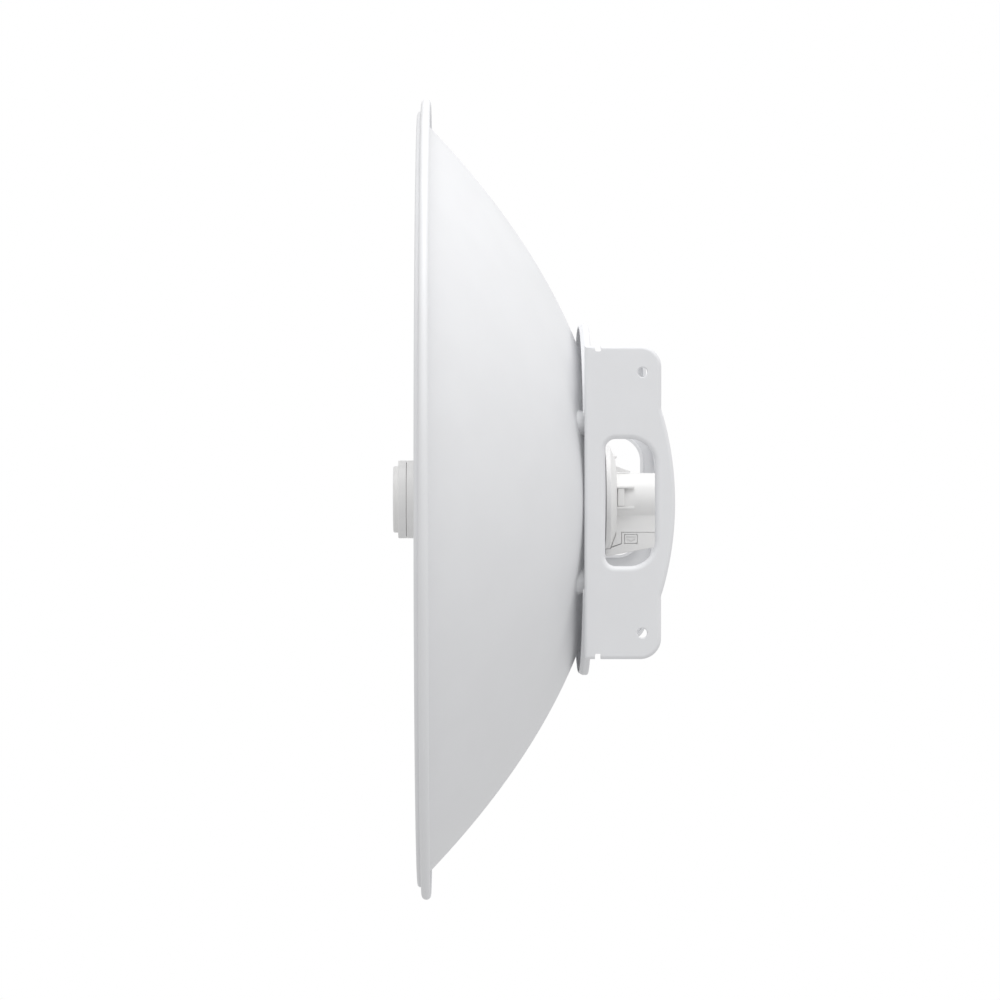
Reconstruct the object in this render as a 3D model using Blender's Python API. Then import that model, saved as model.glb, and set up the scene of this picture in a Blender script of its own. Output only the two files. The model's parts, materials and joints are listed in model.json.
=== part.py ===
"""Outdoor wireless bridge: a dish antenna with an in-feed radio and a yoke for a pole bracket.

Metres, +Z up. The dish points along -Y. The origin is on the dish axis, midway between the
yoke's four bolt holes. Left and right are as seen from the front, so right is +X.
Sizes below are in millimetres; MM turns them into metres.
"""

import math

import bmesh
import bpy
from mathutils import Vector

MM = 0.001

# Clearances
GAP = 0.3  # between pieces that touch
SLIP = 0.5  # round a piece that slides into another
OVERSHOOT = 5.0  # how far a cutter runs past the face it cuts
OVERLAP = 1.0  # how far a joined shape runs into what it joins

# Dish: a pressed paraboloid whose edge steps back from a bead to a curled rim
FOCAL_LENGTH = 157.0
VERTEX_Y = -22.4  # back of the sheet on the axis
SHEET = 1.8
RIM_RADIUS = 323.0
CURL_RADIUS = 3.8
BEAD_RADIUS = RIM_RADIUS - 10.0
BEAD_HEIGHT = 3.2
BEAD_EDGE = 1.6
BOWL_RADIUS = BEAD_RADIUS - 3.7  # where the bowl's front face meets the bead
DISH_SEGMENTS = 64
BOWL_STEPS = 9
SEAT_RADIUS = 8.4  # pressed seat round each bolt

# Yoke ears: their outer faces, and the spread of their holes about the origin
EAR_OUTER_X = 125.0
EAR_SHEET = 2.5
EAR_HALF_HEIGHT = 122.0
EAR_LEAD = 6.6  # in front of the ring's rear face
EAR_REAR_Y = 14.7
EAR_CORNER = 16.3
EAR_LIP_DEPTH = 9.0
EAR_EDGE_ROUND = 2.2
HAND_HOLE_HALF_HEIGHT = 49.6
HAND_HOLE_SETBACK = 9.8  # behind the ring's rear face
HAND_HOLE_REAR_Y = 10.0
HAND_HOLE_FRONT_CORNER = 8.0
HAND_HOLE_REAR_CORNER = 20.0
HAND_HOLE_COLLAR_DEPTH = 7.5
GRIP_REAR_Y = EAR_REAR_Y + 10.9
GRIP_RADIUS = 250.0
GRIP_HALF_LENGTH = HAND_HOLE_HALF_HEIGHT + 26.4
GRIP_BLEND = 9.0
NOTCH_SETBACK = 1.7
NOTCH_WIDTH = 4.6
NOTCH_DEPTH = 4.3
EAR_BOLT_HOLE_RADIUS = 3.7
EAR_BOLT_HOLE_Z = EAR_HALF_HEIGHT - 20.4

# Mounting ring behind the dish, wide enough for the ears to stand on its flat sides
RING_RADIUS = EAR_OUTER_X + 17.3
RING_BORE_RADIUS = RING_RADIUS - 28.3
RING_STANDOFF = 2.0  # from the dish's back at the ring's bore
RING_SHEET = 2.5
RING_LIP_DEPTH = 7.7
RING_EDGE_ROUND = 1.6
RING_SEGMENTS = 64

# Bolts that hold dish, ring and the ears' tabs together
BOLT_X = EAR_OUTER_X - 18.0
BOLT_CIRCLE_RADIUS = RING_BORE_RADIUS + 9.5
BOLT_Z = math.sqrt(BOLT_CIRCLE_RADIUS**2 - BOLT_X**2)
BOLT_RADIUS = 3.0
BOLT_HEAD_RADIUS = 6.5
BOLT_HEAD_HEIGHT = 2.6
NUT_ACROSS_FLATS = 10.0
NUT_FLANGE_RADIUS = 7.0
NUT_HEIGHT = 5.0
NUT_FLANGE = 1.4
BOLT_TIP = 2.5  # thread showing past the nut
TAB_HALF_HEIGHT = 15.0
TAB_INNER_X = BOLT_X - 11.0

# Feed: a plastic tube through the dish's hub, with its radio inside. Its head is about the focus.
FEED_SEGMENTS = 40
FOCUS_Y = VERTEX_Y - FOCAL_LENGTH
HEAD_RADIUS = 31.5
HEAD_FRONT_Y = FOCUS_Y - 5.6
HEAD_REAR_Y = FOCUS_Y + 15.4
WAIST_RADIUS = 26.5
WAIST_Y = FOCUS_Y + 27.4
TUBE_RADIUS = 28.5
TUBE_WALL = 2.2
STOP_RADIUS = TUBE_RADIUS + 7.5
STOP_THICKNESS = 3.0
SPIGOT_RADIUS = TUBE_RADIUS + 1.5
SPIGOT_REAR_Y = -19.5
SLEEVE_RADIUS = 19.0
SLEEVE_REAR_Y = -11.5
CAP_FRONT_Y = HEAD_FRONT_Y - 11.2
CAP_STEP_Y = HEAD_FRONT_Y - 6.9
CAP_REAR_Y = HEAD_FRONT_Y - 1.9
CAP_SPIGOT_REAR_Y = HEAD_FRONT_Y + 5.0
CAP_DISC_RADIUS = HEAD_RADIUS - 4.6
CAP_EDGE = 1.0
CAP_CROWN = 0.3
CAP_WALL = 2.4
CAP_FACE = 6.2
CAP_LIP = 1.0  # hides the seal
SEAL_SECTION = 0.9

# Parts inside the feed
REFLECTOR_EDGE = 2.5
REFLECTOR_CONE_RADIUS = 12.0
REFLECTOR_HEIGHT = 8.9
GUIDE_BORE_RADIUS = 12.2
GUIDE_WALL = 2.3
GUIDE_FRONT_Y = HEAD_FRONT_Y + 13.0
GUIDE_REAR_Y = HEAD_FRONT_Y + 65.0
GUIDE_FLANGE_Y = HEAD_FRONT_Y + 31.0
GUIDE_FLANGE_THICKNESS = 3.0
BOARD_HALF_WIDTH = 15.0
BOARD_FRONT_Y = GUIDE_REAR_Y + 3.0
BOARD_REAR_Y = 12.5
BOARD_TOP_Z = -3.2
BOARD_THICKNESS = 1.6
SHIELD_HALF_WIDTH = 12.0
SHIELD_FRONT_Y = BOARD_FRONT_Y + 17.0
SHIELD_REAR_Y = -40.0
SHIELD_HEIGHT = 6.0

# Rear collar, which clamps the dish against the feed's stop, and its gasket
COLLAR_RADIUS = 43.4
COLLAR_RIM = 3.2
COLLAR_SHOULDER_RADIUS = 33.0
COLLAR_SHOULDER_Y = -16.4
COLLAR_REAR_Y = -15.6
COLLAR_WALL = 3.4
COLLAR_EDGE = 0.6
GASKET_INNER_RADIUS = SPIGOT_RADIUS + 3.0
GASKET_OUTER_RADIUS = COLLAR_RADIUS - 2.9
GASKET_THICKNESS = 1.0
GASKET_POCKET = 2.0
RIB_SPACING = 8.0
RIB_THICKNESS = 1.8
RIB_TOP_Z = 28.0
RIB_REAR_Y = -4.0
PIP_RADIUS = 1.6
PIP_Z = 34.5

# Rear housing and its sliding port door
HOUSING_RADIUS = SLEEVE_RADIUS + 2.3
HOUSING_REAR_Y = 22.0
HOUSING_WALL = 2.0
CREASE_Z = -12.5
BOX_HALF_WIDTH = HOUSING_RADIUS - 3.0
BOX_DRAFT = 0.5
BOX_SHOULDER_Z = CREASE_Z - 5.5
SEAM_Z = -26.0
DOOR_STEP_Y = -11.8
DOOR_STEP_Z = SEAM_Z - 9.6
DOOR_TOE_Y = -24.4
DOOR_TOE_TOP_Z = DOOR_STEP_Z - 4.4
DOOR_TOE_BOTTOM_Z = SEAM_Z - 19.9
DOOR_REAR_BOTTOM_Z = SEAM_Z - 10.8
DOOR_WALL = 2.0
CABLE_SLOT_HALF_WIDTH = 5.0
CABLE_SLOT_FRONT_Y = 9.0
CABLE_SLOT_DROP = 3.0  # below the door's top edge
BUTTON_FRONT_Y = DOOR_STEP_Y + 2.7
BUTTON_LENGTH = 10.0
BUTTON_HEIGHT = 7.0
BUTTON_DROP = 1.8  # below the door's top edge

# Side latches and the guide bars above and below them
LATCH_FRONT_Y = -14.8
LATCH_REAR_Y = -9.5
LATCH_THICKNESS = 1.8
LATCH_LOW_Z = -5.0
LATCH_HIGH_Z = 9.0
BAR_REAR_Y = -1.5
BAR_THICKNESS = 1.5

# Port, reset switch and light window
JACK_HALF_WIDTH = 8.0
JACK_FRONT_Y = -2.5
JACK_LENGTH = 14.0
JACK_HEIGHT = 17.5
JACK_WALL = 2.0
JACK_DEPTH = 13.5
SWITCH_SIZE = 6.0
SWITCH_HEIGHT = 3.4
SWITCH_Y = JACK_FRONT_Y - 5.5
RESET_RADIUS = 1.5
RESET_LENGTH = 3.6
RESET_TRAVEL = 0.8  # free room above the plunger, and the cap that closes its bore
WINDOW_HALF_WIDTH = 9.0
WINDOW_LOW_Z = 6.0
WINDOW_HEIGHT = 3.2
WINDOW_PROUD = 0.4

# Finishes: colour, roughness, metallic
FINISHES = {
    "dish_paint": ((0.80, 0.81, 0.83), 0.42, 0.0),
    "yoke_paint": ((0.79, 0.80, 0.82), 0.45, 0.0),
    "white_plastic": ((0.80, 0.80, 0.79), 0.40, 0.0),
    "zinc_steel": ((0.62, 0.63, 0.64), 0.35, 1.0),
    "aluminium": ((0.70, 0.71, 0.72), 0.32, 1.0),
    "black_rubber": ((0.05, 0.05, 0.05), 0.80, 0.0),
    "natural_plastic": ((0.72, 0.70, 0.64), 0.45, 0.0),
    "circuit_board": ((0.04, 0.20, 0.10), 0.50, 0.0),
    "dark_plastic": ((0.06, 0.06, 0.07), 0.50, 0.0),
    "smoked_window": ((0.30, 0.32, 0.34), 0.15, 0.0),
}


def clear_scene():
    for thing in list(bpy.data.objects):
        bpy.data.objects.remove(thing, do_unlink=True)


def finish(name):
    """The material of this name, made the first time it is asked for."""
    if name in bpy.data.materials:
        return bpy.data.materials[name]
    colour, roughness, metallic = FINISHES[name]
    material = bpy.data.materials.new(name)
    material.use_nodes = True
    shader = material.node_tree.nodes["Principled BSDF"]
    shader.inputs["Base Color"].default_value = (*colour, 1.0)
    shader.inputs["Roughness"].default_value = roughness
    shader.inputs["Metallic"].default_value = metallic
    return material


def make_object(name, shape, finish_name, smooth=True):
    """An object from a bmesh in millimetres. No finish makes it a cutter."""
    bmesh.ops.recalc_face_normals(shape, faces=shape.faces)
    bmesh.ops.scale(shape, vec=(MM, MM, MM), verts=shape.verts)
    mesh = bpy.data.meshes.new(name)
    shape.to_mesh(mesh)
    shape.free()
    thing = bpy.data.objects.new(name, mesh)
    bpy.context.scene.collection.objects.link(thing)
    if finish_name is None:
        thing.hide_render = True
        thing.display_type = "WIRE"
        return thing
    mesh.materials.append(finish(finish_name))
    if smooth:
        mesh.shade_smooth()
        mesh.set_sharp_from_angle(angle=math.radians(35))
    return thing


def turned(name, profile, finish_name, segments=FEED_SEGMENTS):
    """A closed profile of (radius, y) points turned about the dish axis."""
    shape = bmesh.new()
    rings = []
    for radius, y in profile:
        if radius == 0:
            rings.append([shape.verts.new((0, y, 0))])
            continue
        turns = [2 * math.pi * i / segments for i in range(segments)]
        rings.append([shape.verts.new((radius * math.cos(a), y, radius * math.sin(a))) for a in turns])
    for k, ring in enumerate(rings):
        after = rings[(k + 1) % len(rings)]
        if len(ring) == 1 and len(after) == 1:
            continue
        for i in range(segments):
            j = (i + 1) % segments
            corners = [ring[i % len(ring)], ring[j % len(ring)], after[j % len(after)], after[i % len(after)]]
            shape.faces.new(list(dict.fromkeys(corners)))
    return make_object(name, shape, finish_name)


def extruded(name, outline, axis, low, high, finish_name, outer_round=0.0):
    """An outline extruded along X, Y or Z from low to high, with its high end's edge rounded.

    The outline's points are (y, z) for X, (x, z) for Y and (x, y) for Z.
    """
    places = {"X": lambda a, b, h: (h, a, b), "Y": lambda a, b, h: (a, h, b), "Z": lambda a, b, h: (a, b, h)}
    place = places[axis]
    levels = [(low, outline), (high, outline)]
    if outer_round:
        back = math.copysign(outer_round, low - high)
        levels[1] = (high + back, outline)
        levels.append((high + 0.3 * back, offset_outline(outline, -0.3 * outer_round)))
        levels.append((high, offset_outline(outline, -outer_round)))
    shape = bmesh.new()
    rows = [[shape.verts.new(place(a, b, height)) for a, b in points] for height, points in levels]
    shape.faces.new(rows[0])
    shape.faces.new(rows[-1])
    for below, above in zip(rows, rows[1:]):
        for i in range(len(outline)):
            j = (i + 1) % len(outline)
            shape.faces.new((below[i], below[j], above[j], above[i]))
    return make_object(name, shape, finish_name)


def box(name, low, high, finish_name):
    corners = [(low[0], low[1]), (high[0], low[1]), (high[0], high[1]), (low[0], high[1])]
    return extruded(name, corners, "Z", low[2], high[2], finish_name)


def round_bar(name, centre, axis, low, high, radius, finish_name, segments=20):
    """A cylinder whose centre is given in the two directions across its axis."""
    turns = [2 * math.pi * (i + 0.5) / segments for i in range(segments)]
    outline = [(centre[0] + radius * math.cos(a), centre[1] + radius * math.sin(a)) for a in turns]
    return extruded(name, outline, axis, low, high, finish_name)


def combine(thing, other, operation):
    modifier = thing.modifiers.new(f"{operation.lower()} {other.name}", "BOOLEAN")
    modifier.operation = operation
    modifier.solver = "EXACT"
    modifier.object = other
    other.hide_render = True
    other.display_type = "WIRE"


def cut(thing, *cutters):
    for cutter in cutters:
        combine(thing, cutter, "DIFFERENCE")


def join(thing, *others):
    for other in others:
        combine(thing, other, "UNION")


def put_origin(thing, point):
    """Moves an object's origin to a point in millimetres, with its shape where it was."""
    place = Vector(point) * MM
    for vertex in thing.data.vertices:
        vertex.co -= place
    thing.location = place


def arc(centre, radius, start, end, steps):
    """Points on an arc, with angles in degrees, ends included."""
    turns = [math.radians(start + (end - start) * i / steps) for i in range(steps + 1)]
    return [(centre[0] + radius * math.cos(a), centre[1] + radius * math.sin(a)) for a in turns]


def offset_outline(outline, distance):
    """The outline moved outwards by a distance, or inwards by a negative one. It runs anticlockwise."""
    moved = []
    for i, point in enumerate(outline):
        before = Vector(point) - Vector(outline[i - 1])
        after = Vector(outline[(i + 1) % len(outline)]) - Vector(point)
        sides = [Vector((edge.y, -edge.x)).normalized() for edge in (before, after)]
        middle = (sides[0] + sides[1]).normalized()
        moved.append(tuple(Vector(point) + middle * distance / max(middle.dot(sides[0]), 0.4)))
    return moved


def dish_back_y(radius):
    return VERTEX_Y - radius * radius / (4 * FOCAL_LENGTH)


def dish_front_point(radius):
    """The point of the sheet's front face opposite its back face at this radius."""
    slope = math.atan(radius / (2 * FOCAL_LENGTH))
    return (radius - SHEET * math.sin(slope), dish_back_y(radius) - SHEET * math.cos(slope))


def bolt_places():
    return [(x, z) for z in (BOLT_Z, -BOLT_Z) for x in (-BOLT_X, BOLT_X)]


def ring_rear_y():
    return dish_back_y(RING_BORE_RADIUS) + RING_STANDOFF + RING_SHEET


def seat_back_y():
    """Back face of the dish's pressed seats, which the ring rests on."""
    return ring_rear_y() - RING_SHEET - GAP


def make_dish():
    hub = SPIGOT_RADIUS + SLIP
    bead_front_y = dish_front_point(BOWL_RADIUS)[1]
    bead_back_y = bead_front_y + SHEET
    flange_front_y = bead_front_y + BEAD_HEIGHT
    back_end = math.sqrt(4 * FOCAL_LENGTH * (VERTEX_Y - bead_back_y))
    back = [hub + (back_end - hub) * i / BOWL_STEPS for i in range(BOWL_STEPS + 1)]
    front = [hub + (BOWL_RADIUS - hub) * i / BOWL_STEPS for i in range(BOWL_STEPS, -1, -1)]
    curl_centre = (RIM_RADIUS - CURL_RADIUS, flange_front_y + CURL_RADIUS)
    step = BEAD_RADIUS - SHEET
    profile = [(r, dish_back_y(r)) for r in back]
    profile += [(step, bead_back_y), (step, flange_front_y + SHEET)]
    profile += [(RIM_RADIUS - CURL_RADIUS, flange_front_y + SHEET)]
    profile += arc(curl_centre, CURL_RADIUS - SHEET, -40, 90, 3)
    profile += arc(curl_centre, CURL_RADIUS, 90, -90, 5)
    profile += [(BEAD_RADIUS, flange_front_y), (BEAD_RADIUS, bead_front_y + BEAD_EDGE)]
    profile += [(BEAD_RADIUS - BEAD_EDGE, bead_front_y)]
    profile += [dish_front_point(r) for r in front]
    profile[-1] = (hub, dish_front_point(hub)[1])
    dish = turned("dish_reflector", profile, "dish_paint", DISH_SEGMENTS)
    floor_y = seat_back_y()
    for n, place in enumerate(bolt_places(), 1):
        edge_y = dish_front_point(math.hypot(*place) + SEAT_RADIUS)[1]
        front_y = edge_y - 2 * SEAT_RADIUS
        hollow_radius, hole_radius = SEAT_RADIUS - SHEET, BOLT_RADIUS + GAP
        join(dish, round_bar(f"skirt_{n}", place, "Y", edge_y + SHEET, floor_y, SEAT_RADIUS, None))
        cut(dish, round_bar(f"hollow_{n}", place, "Y", front_y, floor_y - SHEET, hollow_radius, None))
        cut(dish, round_bar(f"dish_hole_{n}", place, "Y", front_y, floor_y + OVERSHOOT, hole_radius, None))


def make_ring():
    rear_y = ring_rear_y()
    front_y = rear_y - RING_SHEET
    lip_front_y = rear_y - RING_LIP_DEPTH
    lip_radius = RING_RADIUS - RING_SHEET
    profile = [
        (RING_BORE_RADIUS, front_y),
        (lip_radius, front_y),
        (lip_radius, lip_front_y),
        (RING_RADIUS, lip_front_y),
        (RING_RADIUS, rear_y - RING_EDGE_ROUND),
        (RING_RADIUS - RING_EDGE_ROUND, rear_y),
        (RING_BORE_RADIUS, rear_y),
    ]
    ring = turned("mounting_ring", profile, "yoke_paint", RING_SEGMENTS)
    side = EAR_OUTER_X - EAR_SHEET - 2 * GAP
    reach = RING_RADIUS + OVERSHOOT
    low_y, high_y = lip_front_y - OVERSHOOT, rear_y + OVERSHOOT
    for n, sign in enumerate((-1, 1), 1):
        low_x, high_x = sorted((sign * side, sign * reach))
        cut(ring, box(f"ring_side_{n}", (low_x, low_y, -reach), (high_x, high_y, reach), None))
    for n, place in enumerate(bolt_places(), 1):
        cut(ring, round_bar(f"ring_hole_{n}", place, "Y", low_y, high_y, BOLT_RADIUS + GAP, None))


def grip_edge_y(z):
    """The ear's rear edge: straight, with a bow outwards where a hand grips it."""
    if abs(z) >= GRIP_HALF_LENGTH:
        return EAR_REAR_Y
    bow = GRIP_REAR_Y - GRIP_RADIUS + math.sqrt(GRIP_RADIUS**2 - z * z)
    share = min(1.0, (GRIP_HALF_LENGTH - abs(z)) / GRIP_BLEND)
    return EAR_REAR_Y + (bow - EAR_REAR_Y) * math.sin(share * math.pi / 2)


def ear_outline():
    """Anticlockwise (y, z) points of an ear, before its notches are cut."""
    top = EAR_HALF_HEIGHT
    corner = (EAR_REAR_Y - EAR_CORNER, top - EAR_CORNER)
    blend_low = GRIP_HALF_LENGTH - GRIP_BLEND
    heights = [GRIP_HALF_LENGTH, GRIP_HALF_LENGTH - GRIP_BLEND / 3, GRIP_HALF_LENGTH - GRIP_BLEND * 2 / 3]
    heights += [blend_low * (5 - i) / 5 for i in range(5)]
    upper = [(EAR_REAR_Y, top - EAR_CORNER)]
    upper += arc(corner, EAR_CORNER, 0, 90, 5)[1:]
    upper += [(ring_rear_y() - EAR_LEAD, top)]
    grip = [(grip_edge_y(z), z) for z in heights]
    half = [(grip_edge_y(0), 0.0)] + grip[::-1] + upper
    return [(y, -z) for y, z in half[:0:-1]] + half


def hand_hole_outline():
    top = HAND_HOLE_HALF_HEIGHT
    rear = HAND_HOLE_REAR_CORNER
    front = HAND_HOLE_FRONT_CORNER
    front_y = ring_rear_y() + HAND_HOLE_SETBACK
    upper = arc((HAND_HOLE_REAR_Y - rear, top - rear), rear, 0, 90, 5)
    upper += arc((front_y + front, top - front), front, 90, 180, 3)
    return upper + [(y, -z) for y, z in upper[::-1]]


def make_ear(side, sign):
    """One yoke ear, made for the right side and mirrored for the left."""

    def along_x(name, outline, low, high, outer_round=0.0):
        inner, outer = sign * low, sign * high
        return extruded(f"{side}_{name}", outline, "X", inner, outer, None, outer_round)

    inner_x = EAR_OUTER_X - EAR_SHEET
    lip_x = EAR_OUTER_X - EAR_LIP_DEPTH
    clear_in, clear_out = lip_x - OVERSHOOT, EAR_OUTER_X + OVERSHOOT
    outline = ear_outline()
    name = f"{side}_ear"
    ear = extruded(name, outline, "X", sign * lip_x, sign * EAR_OUTER_X, "yoke_paint", EAR_EDGE_ROUND)
    front, top = ring_rear_y() - EAR_LEAD - OVERSHOOT, EAR_HALF_HEIGHT + OVERSHOOT
    notch_front = ring_rear_y() + NOTCH_SETBACK
    notch_rear = notch_front + NOTCH_WIDTH
    flat_front = [(front, -top), (notch_rear, -top), (notch_rear, top), (front, top)]
    cut(ear, along_x("hollow", offset_outline(outline, -EAR_SHEET), clear_in, inner_x))
    cut(ear, along_x("strip", flat_front, clear_in, inner_x))
    hole = hand_hole_outline()
    collar_x = EAR_OUTER_X - HAND_HOLE_COLLAR_DEPTH
    join(ear, along_x("grip_collar", offset_outline(hole, EAR_SHEET), collar_x, EAR_OUTER_X - OVERLAP))
    cut(ear, along_x("grip_hole", hole, clear_in, clear_out))
    tab_front_y = ring_rear_y() + GAP
    tab_rear_y = tab_front_y + EAR_SHEET
    for n, end in enumerate((1, -1), 1):
        low_x, high_x = sorted((sign * clear_in, sign * clear_out))
        centre = (0, end * EAR_BOLT_HOLE_Z)
        cut(ear, round_bar(f"{side}_hole_{n}", centre, "X", low_x, high_x, EAR_BOLT_HOLE_RADIUS, None))
        low_x, high_x = sorted((sign * TAB_INNER_X, sign * (inner_x + OVERLAP)))
        low_z, high_z = end * BOLT_Z - TAB_HALF_HEIGHT, end * BOLT_Z + TAB_HALF_HEIGHT
        tab = box(f"{side}_tab_{n}", (low_x, tab_front_y, low_z), (high_x, tab_rear_y, high_z), None)
        join(ear, tab)
        low_z, high_z = sorted((end * (EAR_HALF_HEIGHT - NOTCH_DEPTH), end * top))
        notch = [(notch_front, low_z), (notch_rear, low_z), (notch_rear, high_z), (notch_front, high_z)]
        cut(ear, along_x(f"notch_{n}", notch, clear_in, clear_out))
        place = (sign * BOLT_X, end * BOLT_Z)
        name, radius = f"{side}_tab_hole_{n}", BOLT_RADIUS + GAP
        cut(ear, round_bar(name, place, "Y", ring_rear_y(), tab_rear_y + OVERSHOOT, radius, None))


def make_fasteners():
    """A bolt through dish, ring and ear tab at each of the four places, with its flange nut behind."""
    head_rear_y = seat_back_y() - SHEET - GAP
    shank_front_y = head_rear_y - BOLT_HEAD_HEIGHT / 4
    nut_front_y = ring_rear_y() + 2 * GAP + EAR_SHEET
    nut_rear_y = nut_front_y + NUT_HEIGHT
    shank_rear_y = nut_rear_y + BOLT_TIP
    flange_rear_y = nut_front_y + NUT_FLANGE
    corner = NUT_ACROSS_FLATS / math.sqrt(3)
    bore = BOLT_RADIUS + GAP
    for n, place in enumerate(bolt_places(), 1):
        name = f"carriage_bolt_{n}"
        bolt = round_bar(name, place, "Y", shank_front_y, shank_rear_y, BOLT_RADIUS, "zinc_steel", 14)
        join(bolt, dome(f"bolt_head_{n}", place, head_rear_y, BOLT_HEAD_RADIUS, BOLT_HEAD_HEIGHT))
        hexagon_front_y = nut_front_y + NUT_FLANGE / 2
        nut = round_bar(f"flange_nut_{n}", place, "Y", hexagon_front_y, nut_rear_y, corner, "zinc_steel", 6)
        name = f"nut_flange_{n}"
        join(nut, round_bar(name, place, "Y", nut_front_y, flange_rear_y, NUT_FLANGE_RADIUS, None, 18))
        low_y, high_y = nut_front_y - OVERSHOOT, nut_rear_y + OVERSHOOT
        cut(nut, round_bar(f"nut_bore_{n}", place, "Y", low_y, high_y, bore, None, 14))


def dome(name, place, rear_y, radius, height):
    """A low domed head whose flat side faces +Y."""
    shape = bmesh.new()
    sides = 18
    turns = [2 * math.pi * i / sides for i in range(sides)]
    rings = []
    for share, depth in ((1.0, 0.0), (1.0, 0.35), (0.8, 0.75), (0.45, 0.95)):
        r, y = radius * share, rear_y - height * depth
        points = [(place[0] + r * math.cos(a), y, place[1] + r * math.sin(a)) for a in turns]
        rings.append([shape.verts.new(point) for point in points])
    shape.faces.new(rings[0])
    shape.faces.new(rings[-1])
    for below, above in zip(rings, rings[1:]):
        for i in range(sides):
            j = (i + 1) % sides
            shape.faces.new((below[i], below[j], above[j], above[i]))
    return make_object(name, shape, None)


def make_feed_tube():
    wall = TUBE_WALL
    stop_rear_y = dish_front_point(STOP_RADIUS)[1] - GAP
    stop_front_y = stop_rear_y - STOP_THICKNESS
    outer = [
        (HEAD_RADIUS, HEAD_FRONT_Y),
        (HEAD_RADIUS, HEAD_REAR_Y),
        (WAIST_RADIUS, WAIST_Y),
        (TUBE_RADIUS, stop_front_y),
        (STOP_RADIUS, stop_front_y),
        (STOP_RADIUS, stop_rear_y),
        (SPIGOT_RADIUS, stop_rear_y),
        (SPIGOT_RADIUS, SPIGOT_REAR_Y),
        (SLEEVE_RADIUS, SPIGOT_REAR_Y),
        (SLEEVE_RADIUS, SLEEVE_REAR_Y),
    ]
    inner = [
        (SLEEVE_RADIUS - wall, SLEEVE_REAR_Y),
        (SLEEVE_RADIUS - wall, SPIGOT_REAR_Y - wall),
        (TUBE_RADIUS - wall, SPIGOT_REAR_Y - wall),
        (TUBE_RADIUS - wall, stop_front_y),
        (WAIST_RADIUS - wall, WAIST_Y + wall / 2),
        (HEAD_RADIUS - wall, HEAD_REAR_Y + wall / 2),
        (HEAD_RADIUS - wall, HEAD_FRONT_Y),
    ]
    return turned("feed_tube", outer + inner, "white_plastic")


def make_nose():
    """The feed's cap and seal, and the sub-reflector with the cone that carries it."""
    spigot = HEAD_RADIUS - TUBE_WALL - SLIP
    cavity = spigot - CAP_WALL
    floor_y = CAP_FRONT_Y + CAP_FACE
    cap = [
        (0, CAP_FRONT_Y),
        (CAP_DISC_RADIUS - CAP_EDGE, CAP_FRONT_Y + CAP_CROWN),
        (CAP_DISC_RADIUS, CAP_FRONT_Y + CAP_CROWN + CAP_EDGE),
        (CAP_DISC_RADIUS, CAP_STEP_Y),
        (HEAD_RADIUS - CAP_EDGE, CAP_STEP_Y),
        (HEAD_RADIUS, CAP_STEP_Y + CAP_EDGE),
        (HEAD_RADIUS, HEAD_FRONT_Y - GAP),
        (HEAD_RADIUS - CAP_LIP, HEAD_FRONT_Y - GAP),
        (HEAD_RADIUS - CAP_LIP, CAP_REAR_Y),
        (spigot, CAP_REAR_Y),
        (spigot, CAP_SPIGOT_REAR_Y),
        (cavity, CAP_SPIGOT_REAR_Y),
        (cavity, floor_y),
        (0, floor_y),
    ]
    turned("nose_cap", cap, "white_plastic")
    inner, outer = HEAD_RADIUS - TUBE_WALL, HEAD_RADIUS - TUBE_WALL + SEAL_SECTION
    front_y, rear_y = CAP_REAR_Y + GAP, HEAD_FRONT_Y - GAP
    seal = [(inner, front_y), (outer, front_y), (outer, rear_y), (inner, rear_y)]
    turned("cap_seal", seal, "black_rubber")
    disc = cavity - SLIP
    front_y = floor_y + GAP
    tip_y = front_y + REFLECTOR_HEIGHT
    reflector = [
        (0, front_y),
        (disc, front_y),
        (disc, front_y + REFLECTOR_EDGE),
        (REFLECTOR_CONE_RADIUS, front_y + REFLECTOR_EDGE + 1.0),
        (REFLECTOR_CONE_RADIUS / 3, tip_y - 0.5),
        (0, tip_y),
    ]
    turned("sub_reflector", reflector, "aluminium", 32)
    plug = GUIDE_BORE_RADIUS - SLIP
    cone_radius = disc - 3.0
    cone = [
        (0, tip_y + SLIP),
        (REFLECTOR_CONE_RADIUS / 3 + 0.2, tip_y),
        (REFLECTOR_CONE_RADIUS + 0.4, front_y + REFLECTOR_EDGE + 1.5),
        (cone_radius, front_y + REFLECTOR_EDGE + 0.7),
        (cone_radius, front_y + REFLECTOR_EDGE + 2.8),
        (plug, GUIDE_FRONT_Y - 3.0),
        (plug, GUIDE_FRONT_Y + GUIDE_BORE_RADIUS),
        (0, GUIDE_FRONT_Y + GUIDE_BORE_RADIUS),
    ]
    turned("feed_cone", cone, "natural_plastic", 32)


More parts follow.
